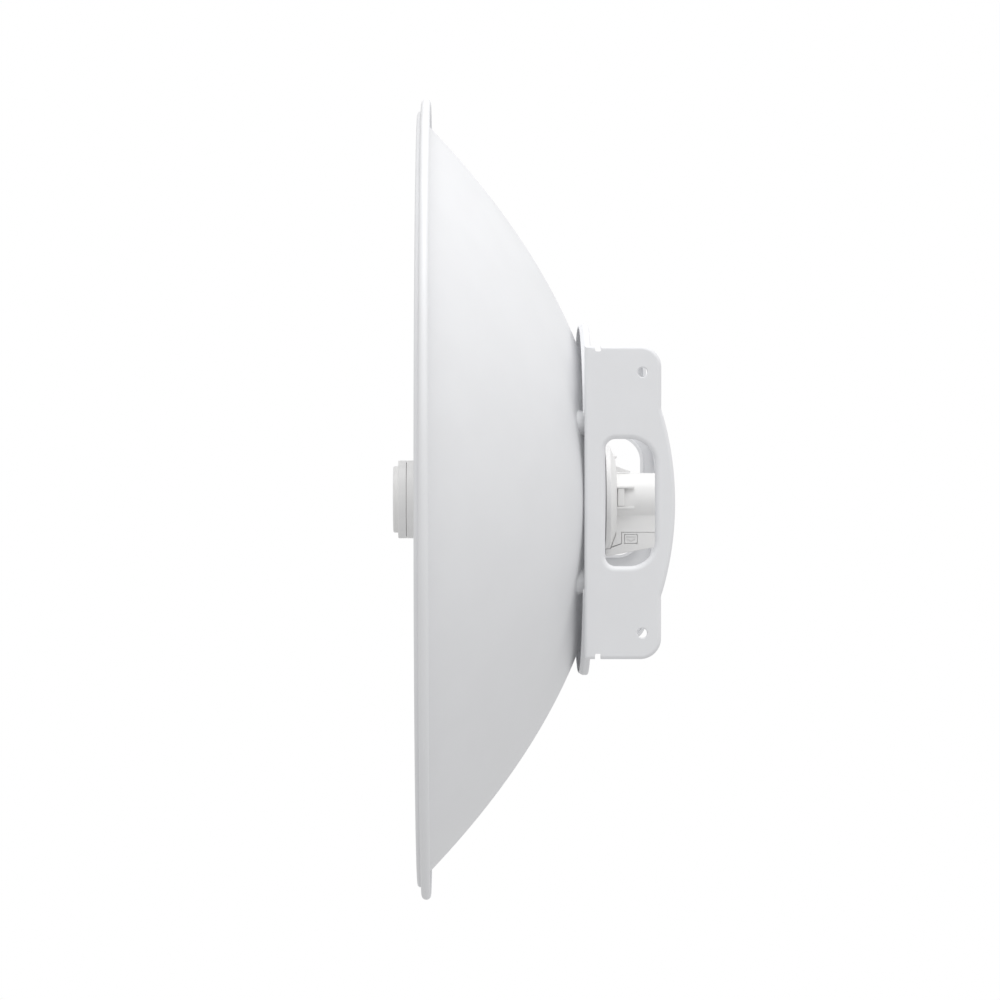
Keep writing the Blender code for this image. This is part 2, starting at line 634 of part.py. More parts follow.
def make_radio():
    guide = GUIDE_BORE_RADIUS + GUIDE_WALL
    seat = WAIST_RADIUS - TUBE_WALL - SLIP
    turned(
        "wave_guide",
        [
            (GUIDE_BORE_RADIUS, GUIDE_FRONT_Y),
            (guide, GUIDE_FRONT_Y),
            (guide, GUIDE_FLANGE_Y),
            (seat, GUIDE_FLANGE_Y),
            (seat, GUIDE_FLANGE_Y + GUIDE_FLANGE_THICKNESS),
            (guide, GUIDE_FLANGE_Y + GUIDE_FLANGE_THICKNESS),
            (guide, GUIDE_REAR_Y),
            (GUIDE_BORE_RADIUS, GUIDE_REAR_Y),
        ],
        "aluminium",
        32,
    )
    board_bottom = BOARD_TOP_Z - BOARD_THICKNESS
    low = (-BOARD_HALF_WIDTH, BOARD_FRONT_Y, board_bottom)
    box("radio_board", low, (BOARD_HALF_WIDTH, BOARD_REAR_Y, BOARD_TOP_Z), "circuit_board")
    shield_low = BOARD_TOP_Z + GAP
    low = (-SHIELD_HALF_WIDTH, SHIELD_FRONT_Y, shield_low)
    box("shield_can", low, (SHIELD_HALF_WIDTH, SHIELD_REAR_Y, shield_low + SHIELD_HEIGHT), "zinc_steel")

    top = board_bottom - GAP
    bottom = top - JACK_HEIGHT
    jack_rear = JACK_FRONT_Y + JACK_LENGTH
    low = (-JACK_HALF_WIDTH, JACK_FRONT_Y, bottom)
    jack = box("ethernet_jack", low, (JACK_HALF_WIDTH, jack_rear, top), "zinc_steel")
    low = (-JACK_HALF_WIDTH + JACK_WALL, JACK_FRONT_Y + JACK_WALL, bottom - OVERSHOOT)
    high = (JACK_HALF_WIDTH - JACK_WALL, jack_rear - JACK_WALL, bottom + JACK_DEPTH)
    cut(jack, box("port_hollow", low, high, None))

    half = SWITCH_SIZE / 2
    low = (-half, SWITCH_Y - half, top - SWITCH_HEIGHT)
    switch = box("switch_body", low, (half, SWITCH_Y + half, top), "dark_plastic")
    bore = RESET_RADIUS + GAP
    bore_top = top - RESET_TRAVEL
    place = (0, SWITCH_Y)
    low_z = top - SWITCH_HEIGHT - OVERSHOOT
    cut(switch, round_bar("switch_bore", place, "Z", low_z, bore_top, bore, None, 14))
    reset_top = bore_top - RESET_TRAVEL
    reset_low = reset_top - RESET_LENGTH
    reset = round_bar("reset_button", place, "Z", reset_low, reset_top, RESET_RADIUS, "dark_plastic", 14)
    put_origin(reset, (0, SWITCH_Y, reset_low))


def make_collar():
    """The round collar that clamps the dish against the feed's stop, and its gasket."""
    front_y = dish_back_y(GASKET_OUTER_RADIUS) + GASKET_THICKNESS
    edge_y = front_y + COLLAR_RIM
    pocket_y = front_y + GASKET_POCKET
    land = GASKET_OUTER_RADIUS + SLIP
    step_y = COLLAR_REAR_Y - COLLAR_WALL
    profile = [
        (SPIGOT_RADIUS + SLIP, pocket_y),
        (land, pocket_y),
        (land, front_y),
        (COLLAR_RADIUS - COLLAR_EDGE, front_y),
        (COLLAR_RADIUS, front_y + COLLAR_EDGE),
        (COLLAR_RADIUS, edge_y),
        (COLLAR_SHOULDER_RADIUS, COLLAR_SHOULDER_Y),
        (COLLAR_SHOULDER_RADIUS - 7, COLLAR_REAR_Y),
        (SLEEVE_RADIUS + SLIP, COLLAR_REAR_Y),
        (SLEEVE_RADIUS + SLIP, step_y),
        (SPIGOT_RADIUS + SLIP, step_y),
    ]
    collar = turned("rear_collar", profile, "white_plastic", 48)
    rib_low = HOUSING_RADIUS + 2 * GAP
    rib_front = COLLAR_REAR_Y - COLLAR_WALL / 2
    half = RIB_THICKNESS / 2
    outline = [(rib_front, rib_low), (RIB_REAR_Y, rib_low), (RIB_REAR_Y, rib_low + OVERLAP)]
    outline += [(rib_front, RIB_TOP_Z)]
    for n, x in enumerate((-RIB_SPACING / 2, RIB_SPACING / 2), 1):
        join(collar, extruded(f"rib_{n}", outline, "X", x - half, x + half, None))
    pip_rear_y = COLLAR_SHOULDER_Y + PIP_RADIUS
    join(collar, round_bar("pip", (0, PIP_Z), "Y", pocket_y + OVERLAP, pip_rear_y, PIP_RADIUS, None, 12))
    inner, outer = GASKET_INNER_RADIUS, GASKET_OUTER_RADIUS
    rear_y = pocket_y - GAP
    gasket_front_y = rear_y - GASKET_THICKNESS
    gasket = [(inner, gasket_front_y), (outer, gasket_front_y), (outer, rear_y), (inner, rear_y)]
    turned("hub_gasket", gasket, "black_rubber", 32)


def housing_outline(inset):
    """Anticlockwise (x, z) section of the rear housing: a round body on a straight-sided open box."""
    radius = HOUSING_RADIUS - inset
    under = math.degrees(math.asin(-CREASE_Z / HOUSING_RADIUS))
    top = arc((0, 0), radius, -under, 180 + under, 22)
    right = [(BOX_HALF_WIDTH - inset, SEAM_Z), (BOX_HALF_WIDTH - BOX_DRAFT - inset, BOX_SHOULDER_Z)]
    left = [(-x, z) for x, z in right[::-1]]
    return right + top + left


def collar_room(name):
    """A cutter that leaves the clamp collar its clearance."""
    front_y = dish_back_y(GASKET_OUTER_RADIUS)
    edge_y = front_y + GASKET_THICKNESS + COLLAR_RIM
    profile = [
        (0, front_y - OVERSHOOT),
        (COLLAR_RADIUS + SLIP, front_y - OVERSHOOT),
        (COLLAR_RADIUS + SLIP, edge_y + GAP),
        (COLLAR_SHOULDER_RADIUS + SLIP, COLLAR_SHOULDER_Y + SLIP),
        (COLLAR_SHOULDER_RADIUS - 7, COLLAR_REAR_Y + GAP),
        (0, COLLAR_REAR_Y + GAP),
    ]
    return turned(name, profile, None, 48)


def make_housing():
    front_y = COLLAR_REAR_Y + GAP
    housing = extruded("rear_housing", housing_outline(0), "Y", front_y, HOUSING_REAR_Y, "white_plastic")
    slope = (DOOR_STEP_Z - DOOR_TOE_TOP_Z) / (DOOR_STEP_Y - DOOR_TOE_Y)
    outline = [
        (DOOR_TOE_Y + GAP, DOOR_TOE_TOP_Z + 2 * GAP),
        (DOOR_STEP_Y, DOOR_TOE_TOP_Z + 2 * GAP + slope * (DOOR_STEP_Y - DOOR_TOE_Y - GAP)),
        (DOOR_STEP_Y, SEAM_Z + 1),
        (DOOR_TOE_Y + GAP, SEAM_Z + 1),
    ]
    skirt = extruded("front_skirt", outline, "X", -BOX_HALF_WIDTH, BOX_HALF_WIDTH, None)
    cut(skirt, collar_room("skirt_room"))
    join(housing, skirt)
    bar_outer = HOUSING_RADIUS + GAP + LATCH_THICKNESS
    for side, sign in (("left", -1), ("right", 1)):
        low_x, high_x = sorted((sign * (HOUSING_RADIUS - 2 * HOUSING_WALL), sign * bar_outer))
        for n, z in enumerate((LATCH_HIGH_Z + GAP, LATCH_LOW_Z - GAP - BAR_THICKNESS), 1):
            low, high = (low_x, front_y, z), (high_x, BAR_REAR_Y, z + BAR_THICKNESS)
            join(housing, box(f"{side}_bar_{n}", low, high, None))
    inside = housing_outline(HOUSING_WALL)
    mouth_z = DOOR_TOE_BOTTOM_Z - OVERSHOOT
    inside = [(inside[0][0], mouth_z)] + inside + [(inside[-1][0], mouth_z)]
    inside_front, inside_rear = DOOR_STEP_Y - HOUSING_WALL / 2, HOUSING_REAR_Y - HOUSING_WALL
    cut(housing, extruded("housing_hollow", inside, "Y", inside_front, inside_rear, None))
    low_y, high_y = front_y - OVERSHOOT, inside_front + OVERLAP
    bore = SLEEVE_RADIUS + GAP
    cut(housing, round_bar("sleeve_bore", (0, 0), "Y", low_y, high_y, bore, None, FEED_SEGMENTS))
    slot_low = (-WINDOW_HALF_WIDTH, inside_rear - OVERSHOOT, WINDOW_LOW_Z)
    slot_high = (WINDOW_HALF_WIDTH, HOUSING_REAR_Y + OVERSHOOT, WINDOW_LOW_Z + WINDOW_HEIGHT)
    cut(housing, box("window_slot", slot_low, slot_high, None))
    low = (-WINDOW_HALF_WIDTH + GAP, inside_rear, WINDOW_LOW_Z + GAP)
    high = (WINDOW_HALF_WIDTH - GAP, HOUSING_REAR_Y + WINDOW_PROUD, WINDOW_LOW_Z + WINDOW_HEIGHT - GAP)
    box("light_window", low, high, "smoked_window")


def make_latches():
    """Spring tabs that lock the collar to the housing. Each bends outwards about its front end."""
    inner = HOUSING_RADIUS + GAP
    for side, sign in (("left", -1), ("right", 1)):
        low_x, high_x = sorted((sign * inner, sign * (inner + LATCH_THICKNESS)))
        low, high = (low_x, LATCH_FRONT_Y, LATCH_LOW_Z), (high_x, LATCH_REAR_Y, LATCH_HIGH_Z)
        latch = box(f"{side}_latch", low, high, "white_plastic")
        put_origin(latch, (sign * (inner + LATCH_THICKNESS / 2), LATCH_FRONT_Y, 0))


def make_door():
    """The trough that closes the port bay. It slides down, and a pad on each side frees it."""
    top = SEAM_Z - GAP
    step_y = DOOR_STEP_Y + GAP
    outline = [
        (DOOR_TOE_Y, DOOR_TOE_BOTTOM_Z),
        (HOUSING_REAR_Y, DOOR_REAR_BOTTOM_Z),
        (HOUSING_REAR_Y, top),
        (step_y, top),
        (step_y, DOOR_STEP_Z),
        (DOOR_TOE_Y, DOOR_TOE_TOP_Z),
    ]
    door = extruded("port_door", outline, "X", -BOX_HALF_WIDTH, BOX_HALF_WIDTH, "white_plastic")
    cut(door, collar_room("toe_room"))
    wall = DOOR_WALL
    slope = (DOOR_REAR_BOTTOM_Z - DOOR_TOE_BOTTOM_Z) / (HOUSING_REAR_Y - DOOR_TOE_Y)
    hollow_front, hollow_rear = step_y + wall, HOUSING_REAR_Y - wall
    hollow = [
        (hollow_front, DOOR_TOE_BOTTOM_Z + slope * (hollow_front - DOOR_TOE_Y) + wall),
        (hollow_rear, DOOR_REAR_BOTTOM_Z - slope * wall + wall),
        (hollow_rear, top + OVERSHOOT),
        (hollow_front, top + OVERSHOOT),
    ]
    inner = BOX_HALF_WIDTH - wall
    cut(door, extruded("door_hollow", hollow, "X", -inner, inner, None))
    low = (-CABLE_SLOT_HALF_WIDTH, CABLE_SLOT_FRONT_Y, DOOR_TOE_BOTTOM_Z - OVERSHOOT)
    high = (CABLE_SLOT_HALF_WIDTH, HOUSING_REAR_Y + OVERSHOOT, top - CABLE_SLOT_DROP)
    cut(door, box("cable_slot", low, high, None))
    pad_top = top - BUTTON_DROP
    front, rear = BUTTON_FRONT_Y, BUTTON_FRONT_Y + BUTTON_LENGTH
    for side, sign in (("left", -1), ("right", 1)):
        low_x, high_x = sorted((sign * (inner - OVERSHOOT), sign * (BOX_HALF_WIDTH + OVERSHOOT)))
        low = (low_x, front - GAP, pad_top - BUTTON_HEIGHT - GAP)
        cut(door, box(f"{side}_window", low, (high_x, rear + GAP, pad_top + GAP), None))
        low_x, high_x = sorted((sign * inner, sign * BOX_HALF_WIDTH))
        low, high = (low_x, front, pad_top - BUTTON_HEIGHT), (high_x, rear, pad_top)
        pad = box(f"{side}_door_button", low, high, "white_plastic")
        put_origin(pad, (sign * BOX_HALF_WIDTH, (front + rear) / 2, pad_top - BUTTON_HEIGHT / 2))


def main():
    clear_scene()
    make_dish()
    make_ring()
    make_ear("left", -1)
    make_ear("right", 1)
    make_fasteners()
    make_feed_tube()
    make_nose()
    make_radio()
    make_collar()
    make_housing()
    make_latches()
    make_door()


main()
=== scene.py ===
import json
import math

import bmesh
import bpy
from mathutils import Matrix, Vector


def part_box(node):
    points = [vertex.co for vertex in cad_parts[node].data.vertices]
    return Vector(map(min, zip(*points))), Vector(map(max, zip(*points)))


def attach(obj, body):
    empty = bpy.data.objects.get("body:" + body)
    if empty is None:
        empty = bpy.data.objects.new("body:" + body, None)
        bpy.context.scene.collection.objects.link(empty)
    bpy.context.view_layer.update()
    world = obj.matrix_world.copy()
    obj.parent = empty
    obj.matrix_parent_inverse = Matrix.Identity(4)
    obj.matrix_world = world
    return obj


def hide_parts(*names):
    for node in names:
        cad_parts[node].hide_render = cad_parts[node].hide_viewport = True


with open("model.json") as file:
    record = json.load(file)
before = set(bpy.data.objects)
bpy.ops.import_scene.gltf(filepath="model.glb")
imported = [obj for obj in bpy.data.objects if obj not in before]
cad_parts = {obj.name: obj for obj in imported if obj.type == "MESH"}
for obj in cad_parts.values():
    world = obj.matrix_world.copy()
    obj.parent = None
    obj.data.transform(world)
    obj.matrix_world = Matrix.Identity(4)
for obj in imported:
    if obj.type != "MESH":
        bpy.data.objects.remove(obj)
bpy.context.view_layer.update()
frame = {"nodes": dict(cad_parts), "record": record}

# Outdoor wireless bridge: a dish antenna with an in-feed radio and a yoke for a pole bracket.
# Sizes are in millimetres. The dish points along -Y, and right is +X as seen from the front.

MM = 0.001
RING_TURNS = 192  # facets round a large turned piece
FEED_TURNS = 128  # facets round a small one
FILLET_STEPS = 4


# ---------------------------------------------------------------- sizes taken from the frame


def low_high(node):
    low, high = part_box(node)
    return low / MM, high / MM


dish_low, dish_high = low_high("dish_reflector")
ring_low, ring_high = low_high("mounting_ring")
ear_low, ear_high = low_high("right_ear")
tube_low, tube_high = low_high("feed_tube")
cap_low, cap_high = low_high("nose_cap")
collar_low, collar_high = low_high("rear_collar")
housing_low, housing_high = low_high("rear_housing")
door_low, door_high = low_high("port_door")
button_low, button_high = low_high("right_door_button")
latch_low, latch_high = low_high("right_latch")
bolt_low, bolt_high = low_high("carriage_bolt_4")
nut_low, nut_high = low_high("flange_nut_4")
jack_low, jack_high = low_high("ethernet_jack")
window_low, window_high = low_high("light_window")

GAP = 0.3  # clearance that stands for a contact
PAST = 5.0  # how far a cutter reaches past what it cuts
FINE_EDGE = 0.35

SHEET = 1.8
FOCAL_LENGTH = 157.0
VERTEX_Y = -22.4
CURL_RADIUS = 3.8
FLANGE_WIDTH = 10.0
BEAD_WIDTH = 3.7
FLANGE_STEP = 3.2
RIM_RADIUS = max(dish_high.x, dish_high.z)
BEAD_RADIUS = RIM_RADIUS - FLANGE_WIDTH
BOWL_RADIUS = BEAD_RADIUS - BEAD_WIDTH
BEAD_FRONT_Y = dish_low.y
FLANGE_FRONT_Y = BEAD_FRONT_Y + FLANGE_STEP
HUB_RADIUS = 30.5
SEAT_RADIUS = 7.2
SEAT_BLEND = 2.4

RING_SHEET = 2.5
RING_WIDTH = 28.3
RING_LIP_WALL = 3.1
RING_LIP_TIP = 2.0
RING_LIP_BEVEL = 3.2

BOLT_X = (bolt_low.x + bolt_high.x) / 2
BOLT_Z = abs(bolt_low.z + bolt_high.z) / 2
BOLT_HOLE = 3.3
SEAT_BACK_Y = ring_high.y - RING_SHEET - GAP  # back face of the seats, which the ring rests on


def bolt_places():
    return [(x, z) for z in (BOLT_Z, -BOLT_Z) for x in (-BOLT_X, BOLT_X)]


# ---------------------------------------------------------------- outlines


def arc(centre, radius, start, end, steps):
    turns = [math.radians(start + (end - start) * i / steps) for i in range(steps + 1)]
    return [(centre[0] + radius * math.cos(a), centre[1] + radius * math.sin(a)) for a in turns]


def filleted(points, radii, closed=True, steps=FILLET_STEPS):
    """A polyline with its corners rounded. A radius of 0 keeps a corner sharp."""
    result = []
    count = len(points)
    for i, (point, radius) in enumerate(zip(points, radii)):
        here = Vector(point)
        if radius == 0 or (not closed and i in (0, count - 1)):
            result.append(tuple(here))
            continue
        back = Vector(points[i - 1]) - here
        on = Vector(points[(i + 1) % count]) - here
        half = back.angle(on) / 2
        if half > math.radians(89):
            result.append(tuple(here))
            continue
        reach = min(radius / math.tan(half), 0.49 * back.length, 0.49 * on.length)
        radius = reach * math.tan(half)
        middle = (back.normalized() + on.normalized()).normalized()
        centre = here + middle * radius / math.sin(half)
        first = here + back.normalized() * reach - centre
        last = here + on.normalized() * reach - centre
        sweep = first.angle_signed(last)
        for k in range(steps + 1):
            turn = -sweep * k / steps
            spun = (
                first.x * math.cos(turn) - first.y * math.sin(turn),
                first.x * math.sin(turn) + first.y * math.cos(turn),
            )
            result.append((centre.x + spun[0], centre.y + spun[1]))
    return result


def offset_outline(outline, distance):
    """The outline moved outwards by a distance, or inwards by a negative one. It runs anticlockwise."""
    moved = []
    for i, point in enumerate(outline):
        before = Vector(point) - Vector(outline[i - 1])
        after = Vector(outline[(i + 1) % len(outline)]) - Vector(point)
        sides = [Vector((edge.y, -edge.x)).normalized() for edge in (before, after)]
        middle = (sides[0] + sides[1]).normalized()
        moved.append(tuple(Vector(point) + middle * distance / max(middle.dot(sides[0]), 0.4)))
    return moved


def rounded(corners, steps=FILLET_STEPS):
    """A closed outline from corners given as (first, second, fillet radius)."""
    return filleted([corner[:2] for corner in corners], [corner[2] for corner in corners], steps=steps)


def mirrored(outline):
    """The outline with its first axis turned round, in the order that keeps it anticlockwise."""
    return [(-a, b) for a, b in outline[::-1]]


def upside_down(outline):
    """The outline with its second axis turned round, in the order that keeps it anticlockwise."""
    return [(a, -b) for a, b in outline[::-1]]


# ---------------------------------------------------------------- meshes


def new_object(name, shape):
    """An object from a bmesh in millimetres."""
    bmesh.ops.recalc_face_normals(shape, faces=shape.faces)
    bmesh.ops.scale(shape, vec=(MM, MM, MM), verts=shape.verts)
    mesh = bpy.data.meshes.new(name)
    shape.to_mesh(mesh)
    shape.free()
    thing = bpy.data.objects.new(name, mesh)
    bpy.context.scene.collection.objects.link(thing)
    return thing


def turned(name, profile, turns=FEED_TURNS):
    """A closed profile of (radius, y) points turned about the dish axis."""
    shape = bmesh.new()
    rings = []
    for radius, y in profile:
        if radius == 0:
            rings.append([shape.verts.new((0, y, 0))])
            continue
        angles = [2 * math.pi * i / turns for i in range(turns)]
        rings.append([shape.verts.new((radius * math.cos(a), y, radius * math.sin(a))) for a in angles])
    for k, ring in enumerate(rings):
        after = rings[(k + 1) % len(rings)]
        if len(ring) == 1 and len(after) == 1:
            continue
        for i in range(turns):
            j = (i + 1) % turns
            corners = [ring[i % len(ring)], ring[j % len(ring)], after[j % len(after)], after[i % len(after)]]
            shape.faces.new(list(dict.fromkeys(corners)))
    return new_object(name, shape)


PLACES = {
    "X": lambda a, b, h: (h, a, b),
    "Y": lambda a, b, h: (a, h, b),
    "Z": lambda a, b, h: (a, b, h),
}


def stacked(name, levels, axis):
    """A closed body through outlines of equal point count, given as (height, outline) along an axis."""
    place = PLACES[axis]
    shape = bmesh.new()
    rows = [[shape.verts.new(place(a, b, height)) for a, b in outline] for height, outline in levels]
    shape.faces.new(rows[0])
    shape.faces.new(rows[-1])
    for below, above in zip(rows, rows[1:]):
        for i in range(len(below)):
            j = (i + 1) % len(below)
            shape.faces.new((below[i], below[j], above[j], above[i]))
    return new_object(name, shape)


def slab(name, outline, axis, low, high, round_low=0.0, round_high=0.0, steps=FILLET_STEPS):
    """An outline extruded from low to high, its two edges rounded by the radii given."""
    way = math.copysign(1, high - low)
    levels = []
    if round_low:
        for i in range(steps + 1):
            turn = math.pi / 2 * i / steps
            inset = round_low * (1 - math.sin(turn))
            levels.append((low + way * round_low * (1 - math.cos(turn)), offset_outline(outline, -inset)))
    else:
        levels.append((low, outline))
    if round_high:
        for i in range(steps, -1, -1):
            turn = math.pi / 2 * i / steps
            inset = round_high * (1 - math.sin(turn))
            levels.append((high - way * round_high * (1 - math.cos(turn)), offset_outline(outline, -inset)))
    else:
        levels.append((high, outline))
    return stacked(name, levels, axis)


def block(name, low, high, edge=0.0):
    corners = [(low[0], low[1]), (high[0], low[1]), (high[0], high[1]), (low[0], high[1])]
    thing = slab(name, corners, "Z", low[2], high[2])
    return softened(thing, edge) if edge else thing


def bar(name, centre, axis, low, high, radius, sides=48):
    angles = [2 * math.pi * i / sides for i in range(sides)]
    outline = [(centre[0] + radius * math.cos(a), centre[1] + radius * math.sin(a)) for a in angles]
    return slab(name, outline, axis, low, high)


def baked(thing):
    """The object with its modifiers made real, as a plain mesh at the origin."""
    name = thing.name
    evaluated = thing.evaluated_get(bpy.context.evaluated_depsgraph_get())
    mesh = bpy.data.meshes.new_from_object(evaluated)
    mesh.transform(thing.matrix_world)
    old = thing.data
    bpy.data.objects.remove(thing)
    if old.users == 0 and isinstance(old, bpy.types.Mesh):
        bpy.data.meshes.remove(old)
    result = bpy.data.objects.new(name, mesh)
    result.name = name
    bpy.context.scene.collection.objects.link(result)
    return result


def combined(thing, operation, others):
    for other in others:
        modifier = thing.modifiers.new(operation, "BOOLEAN")
        modifier.operation = operation
        modifier.solver = "EXACT"
        modifier.object = other
    result = baked(thing)
    for other in others:
        bpy.data.objects.remove(other)
    return result


def cut(thing, *others):
    return combined(thing, "DIFFERENCE", others)


def join(thing, *others):
    return combined(thing, "UNION", others)


def softened(thing, width, angle=35, segments=2):
    """Rounds every edge sharper than the angle."""
    modifier = thing.modifiers.new("edges", "BEVEL")
    modifier.width = width * MM
    modifier.segments = segments
    modifier.limit_method = "ANGLE"
    modifier.angle_limit = math.radians(angle)
    modifier.use_clamp_overlap = True
    modifier.miter_outer = "MITER_ARC"
    return baked(thing)


def smoothed(thing, angle=30):
    """Smooth shading that leaves flat faces flat."""
    thing.data.shade_smooth()
    thing.data.set_sharp_from_angle(angle=math.radians(angle))
    modifier = thing.modifiers.new("normals", "WEIGHTED_NORMAL")
    modifier.keep_sharp = True
    return baked(thing)


def placed(thing, name, slot, body, *nodes, material=None):
    """Names a finished piece, gives it its slot's finish or the one given, and fixes it to its body."""
    thing.name = name
    thing.data.materials.clear()
    thing.data.materials.append(material or FINISHES[slot])
    for polygon in thing.data.polygons:
        polygon.material_index = 0
    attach(thing, body)
    if nodes:
        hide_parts(*nodes)


# ---------------------------------------------------------------- node trees


class Tree:
    """A short way to add nodes to a shader or geometry tree and link them."""

    def __init__(self, tree):
        self.tree = tree

    def add(self, kind, inputs=None, **settings):
        node = self.tree.nodes.new(kind)
        for name, value in settings.items():
            setattr(node, name, value)
        for key, value in (inputs or {}).items():
            self.feed(node.inputs[key], value)
        return node

    def feed(self, socket, value):
        if isinstance(value, bpy.types.NodeSocket):
            self.tree.links.new(value, socket)
        else:
            socket.default_value = value

    def math(self, operation, *values, mode="ShaderNodeMath"):
        node = self.tree.nodes.new(mode)
        node.operation = operation
        for socket, value in zip(node.inputs, values):
            self.feed(socket, value)
        return node.outputs[0]

    def blend(self, low, high, factor, low_value, high_value, smooth=True):
        """Runs from low_value to high_value as the factor goes from low to high."""
        node = self.tree.nodes.new("ShaderNodeMapRange")
        node.interpolation_type = "SMOOTHSTEP" if smooth else "LINEAR"
        for key, value in zip(
            ("Value", "From Min", "From Max", "To Min", "To Max"), (factor, low, high, low_value, high_value)
        ):
            self.feed(node.inputs[key], value)
        return node.outputs["Result"]


# ---------------------------------------------------------------- finishes


def new_material(name, colour, roughness, metallic=0.0, **sockets):
    """A Principled material. Returns it with its tree, its shader and its object coordinates."""
    material = bpy.data.materials.new(name)
    material.use_nodes = True
    tree = Tree(material.node_tree)
    shader = material.node_tree.nodes["Principled BSDF"]
    shader.inputs["Base Color"].default_value = (*colour, 1)
    shader.inputs["Roughness"].default_value = roughness
    shader.inputs["Metallic"].default_value = metallic
    for key, value in sockets.items():
        shader.inputs[key.replace("_", " ")].default_value = value
    place = tree.add("ShaderNodeTexCoord").outputs["Object"]
    return material, tree, shader, place


def noise(tree, place, size_mm, detail=2.0, roughness=0.5, stretch=None):
    """Noise whose blobs are about this size. Stretch scales the pattern along each axis."""
    if stretch:
        place = tree.add("ShaderNodeMapping", {"Vector": place, "Scale": stretch}).outputs["Vector"]
    inputs = {"Vector": place, "Scale": 1 / (size_mm * MM), "Detail": detail, "Roughness": roughness}
    return tree.add("ShaderNodeTexNoise", inputs).outputs["Fac"]


def tinted(tree, factor, low, high, colour_low, colour_high):
    share = tree.blend(low, high, factor, 0.0, 1.0)
    node = tree.add("ShaderNodeMix", data_type="RGBA")
    tree.feed(node.inputs["Factor"], share)
    tree.feed(node.inputs[6], (*colour_low, 1))
    tree.feed(node.inputs[7], (*colour_high, 1))
    return node.outputs[2]


def bumped(tree, shader, height, depth_mm, strength=1.0):
    inputs = {"Height": height, "Distance": depth_mm * MM, "Strength": strength}
    tree.feed(shader.inputs["Normal"], tree.add("ShaderNodeBump", inputs).outputs["Normal"])


def powder_coat(name, colour, roughness, peel_mm):
    """White powder coat: a faint orange peel, with fine grain and slow changes of gloss."""
    material, tree, shader, place = new_material(name, colour, roughness, Specular_IOR_Level=0.42)
    peel = noise(tree, place, peel_mm, 1.5)
    grain = noise(tree, place, peel_mm / 6, 2.0)
    cloud = noise(tree, place, 45.0, 3.0)
    shade = [c * 0.985 for c in colour]
    tree.feed(shader.inputs["Base Color"], tinted(tree, cloud, 0.35, 0.65, shade, colour))
    tree.feed(shader.inputs["Roughness"], tree.blend(0.3, 0.7, cloud, roughness - 0.04, roughness + 0.05))
    height = tree.math("ADD", tree.math("MULTIPLY", peel, 0.8), tree.math("MULTIPLY", grain, 0.2))
    bumped(tree, shader, height, 0.045, 0.35)
    return material


def moulded_plastic(name, colour, roughness, grain_mm=0.35, depth_mm=0.02, dirt=0.97):
    """Injection-moulded plastic with a spark-eroded texture and slight flow marks."""
    material, tree, shader, place = new_material(name, colour, roughness, Specular_IOR_Level=0.45)
    grain = noise(tree, place, grain_mm, 3.0, 0.6)
    flow = noise(tree, place, 14.0, 2.0, 0.5, (1.0, 0.25, 1.0))
    shade = [c * dirt for c in colour]
    tree.feed(shader.inputs["Base Color"], tinted(tree, flow, 0.3, 0.7, shade, colour))
    tree.feed(shader.inputs["Roughness"], tree.blend(0.25, 0.75, grain, roughness - 0.06, roughness + 0.06))
    bumped(tree, shader, grain, depth_mm, 0.3)
    return material


def zinc_plate():
    """Bright zinc: cloudy grey patches and drawn lines along the fasteners."""
    material, tree, shader, place = new_material("zinc_plate", (0.62, 0.63, 0.64), 0.34, 1.0)
    patches = noise(tree, place, 1.8, 3.0)
    lines = noise(tree, place, 0.5, 2.0, 0.6, (1.0, 0.12, 1.0))
    tree.feed(
        shader.inputs["Base Color"], tinted(tree, patches, 0.3, 0.7, (0.52, 0.54, 0.55), (0.70, 0.70, 0.68))
    )
    tree.feed(shader.inputs["Roughness"], tree.blend(0.3, 0.7, patches, 0.24, 0.44))
    bumped(tree, shader, lines, 0.01, 0.3)
    return material


def turned_aluminium():
    """Machined aluminium with fine rings about the dish axis."""
    material, tree, shader, place = new_material("turned_aluminium", (0.70, 0.71, 0.72), 0.28, 1.0)
    rings = tree.add(
        "ShaderNodeTexWave",
        {"Vector": place, "Scale": 900.0, "Distortion": 0.4, "Detail": 1.0},
        wave_type="RINGS",
        rings_direction="Y",
    ).outputs["Fac"]
    haze = noise(tree, place, 6.0, 3.0)
    tree.feed(shader.inputs["Roughness"], tree.blend(0.3, 0.7, haze, 0.22, 0.38))
    tree.feed(
        shader.inputs["Base Color"], tinted(tree, haze, 0.3, 0.7, (0.64, 0.65, 0.66), (0.74, 0.75, 0.76))
    )
    bumped(tree, shader, rings, 0.01, 0.25)
    return material


def black_rubber():
    material, tree, shader, place = new_material("black_rubber", (0.045, 0.045, 0.047), 0.75)
    bloom = noise(tree, place, 2.5, 4.0)
    tree.feed(
        shader.inputs["Base Color"], tinted(tree, bloom, 0.4, 0.75, (0.035, 0.035, 0.036), (0.075, 0.075, 0.078))
    )
    tree.feed(shader.inputs["Roughness"], tree.blend(0.3, 0.7, bloom, 0.66, 0.85))
    bumped(tree, shader, noise(tree, place, 0.4, 2.0), 0.02, 0.4)
    return material


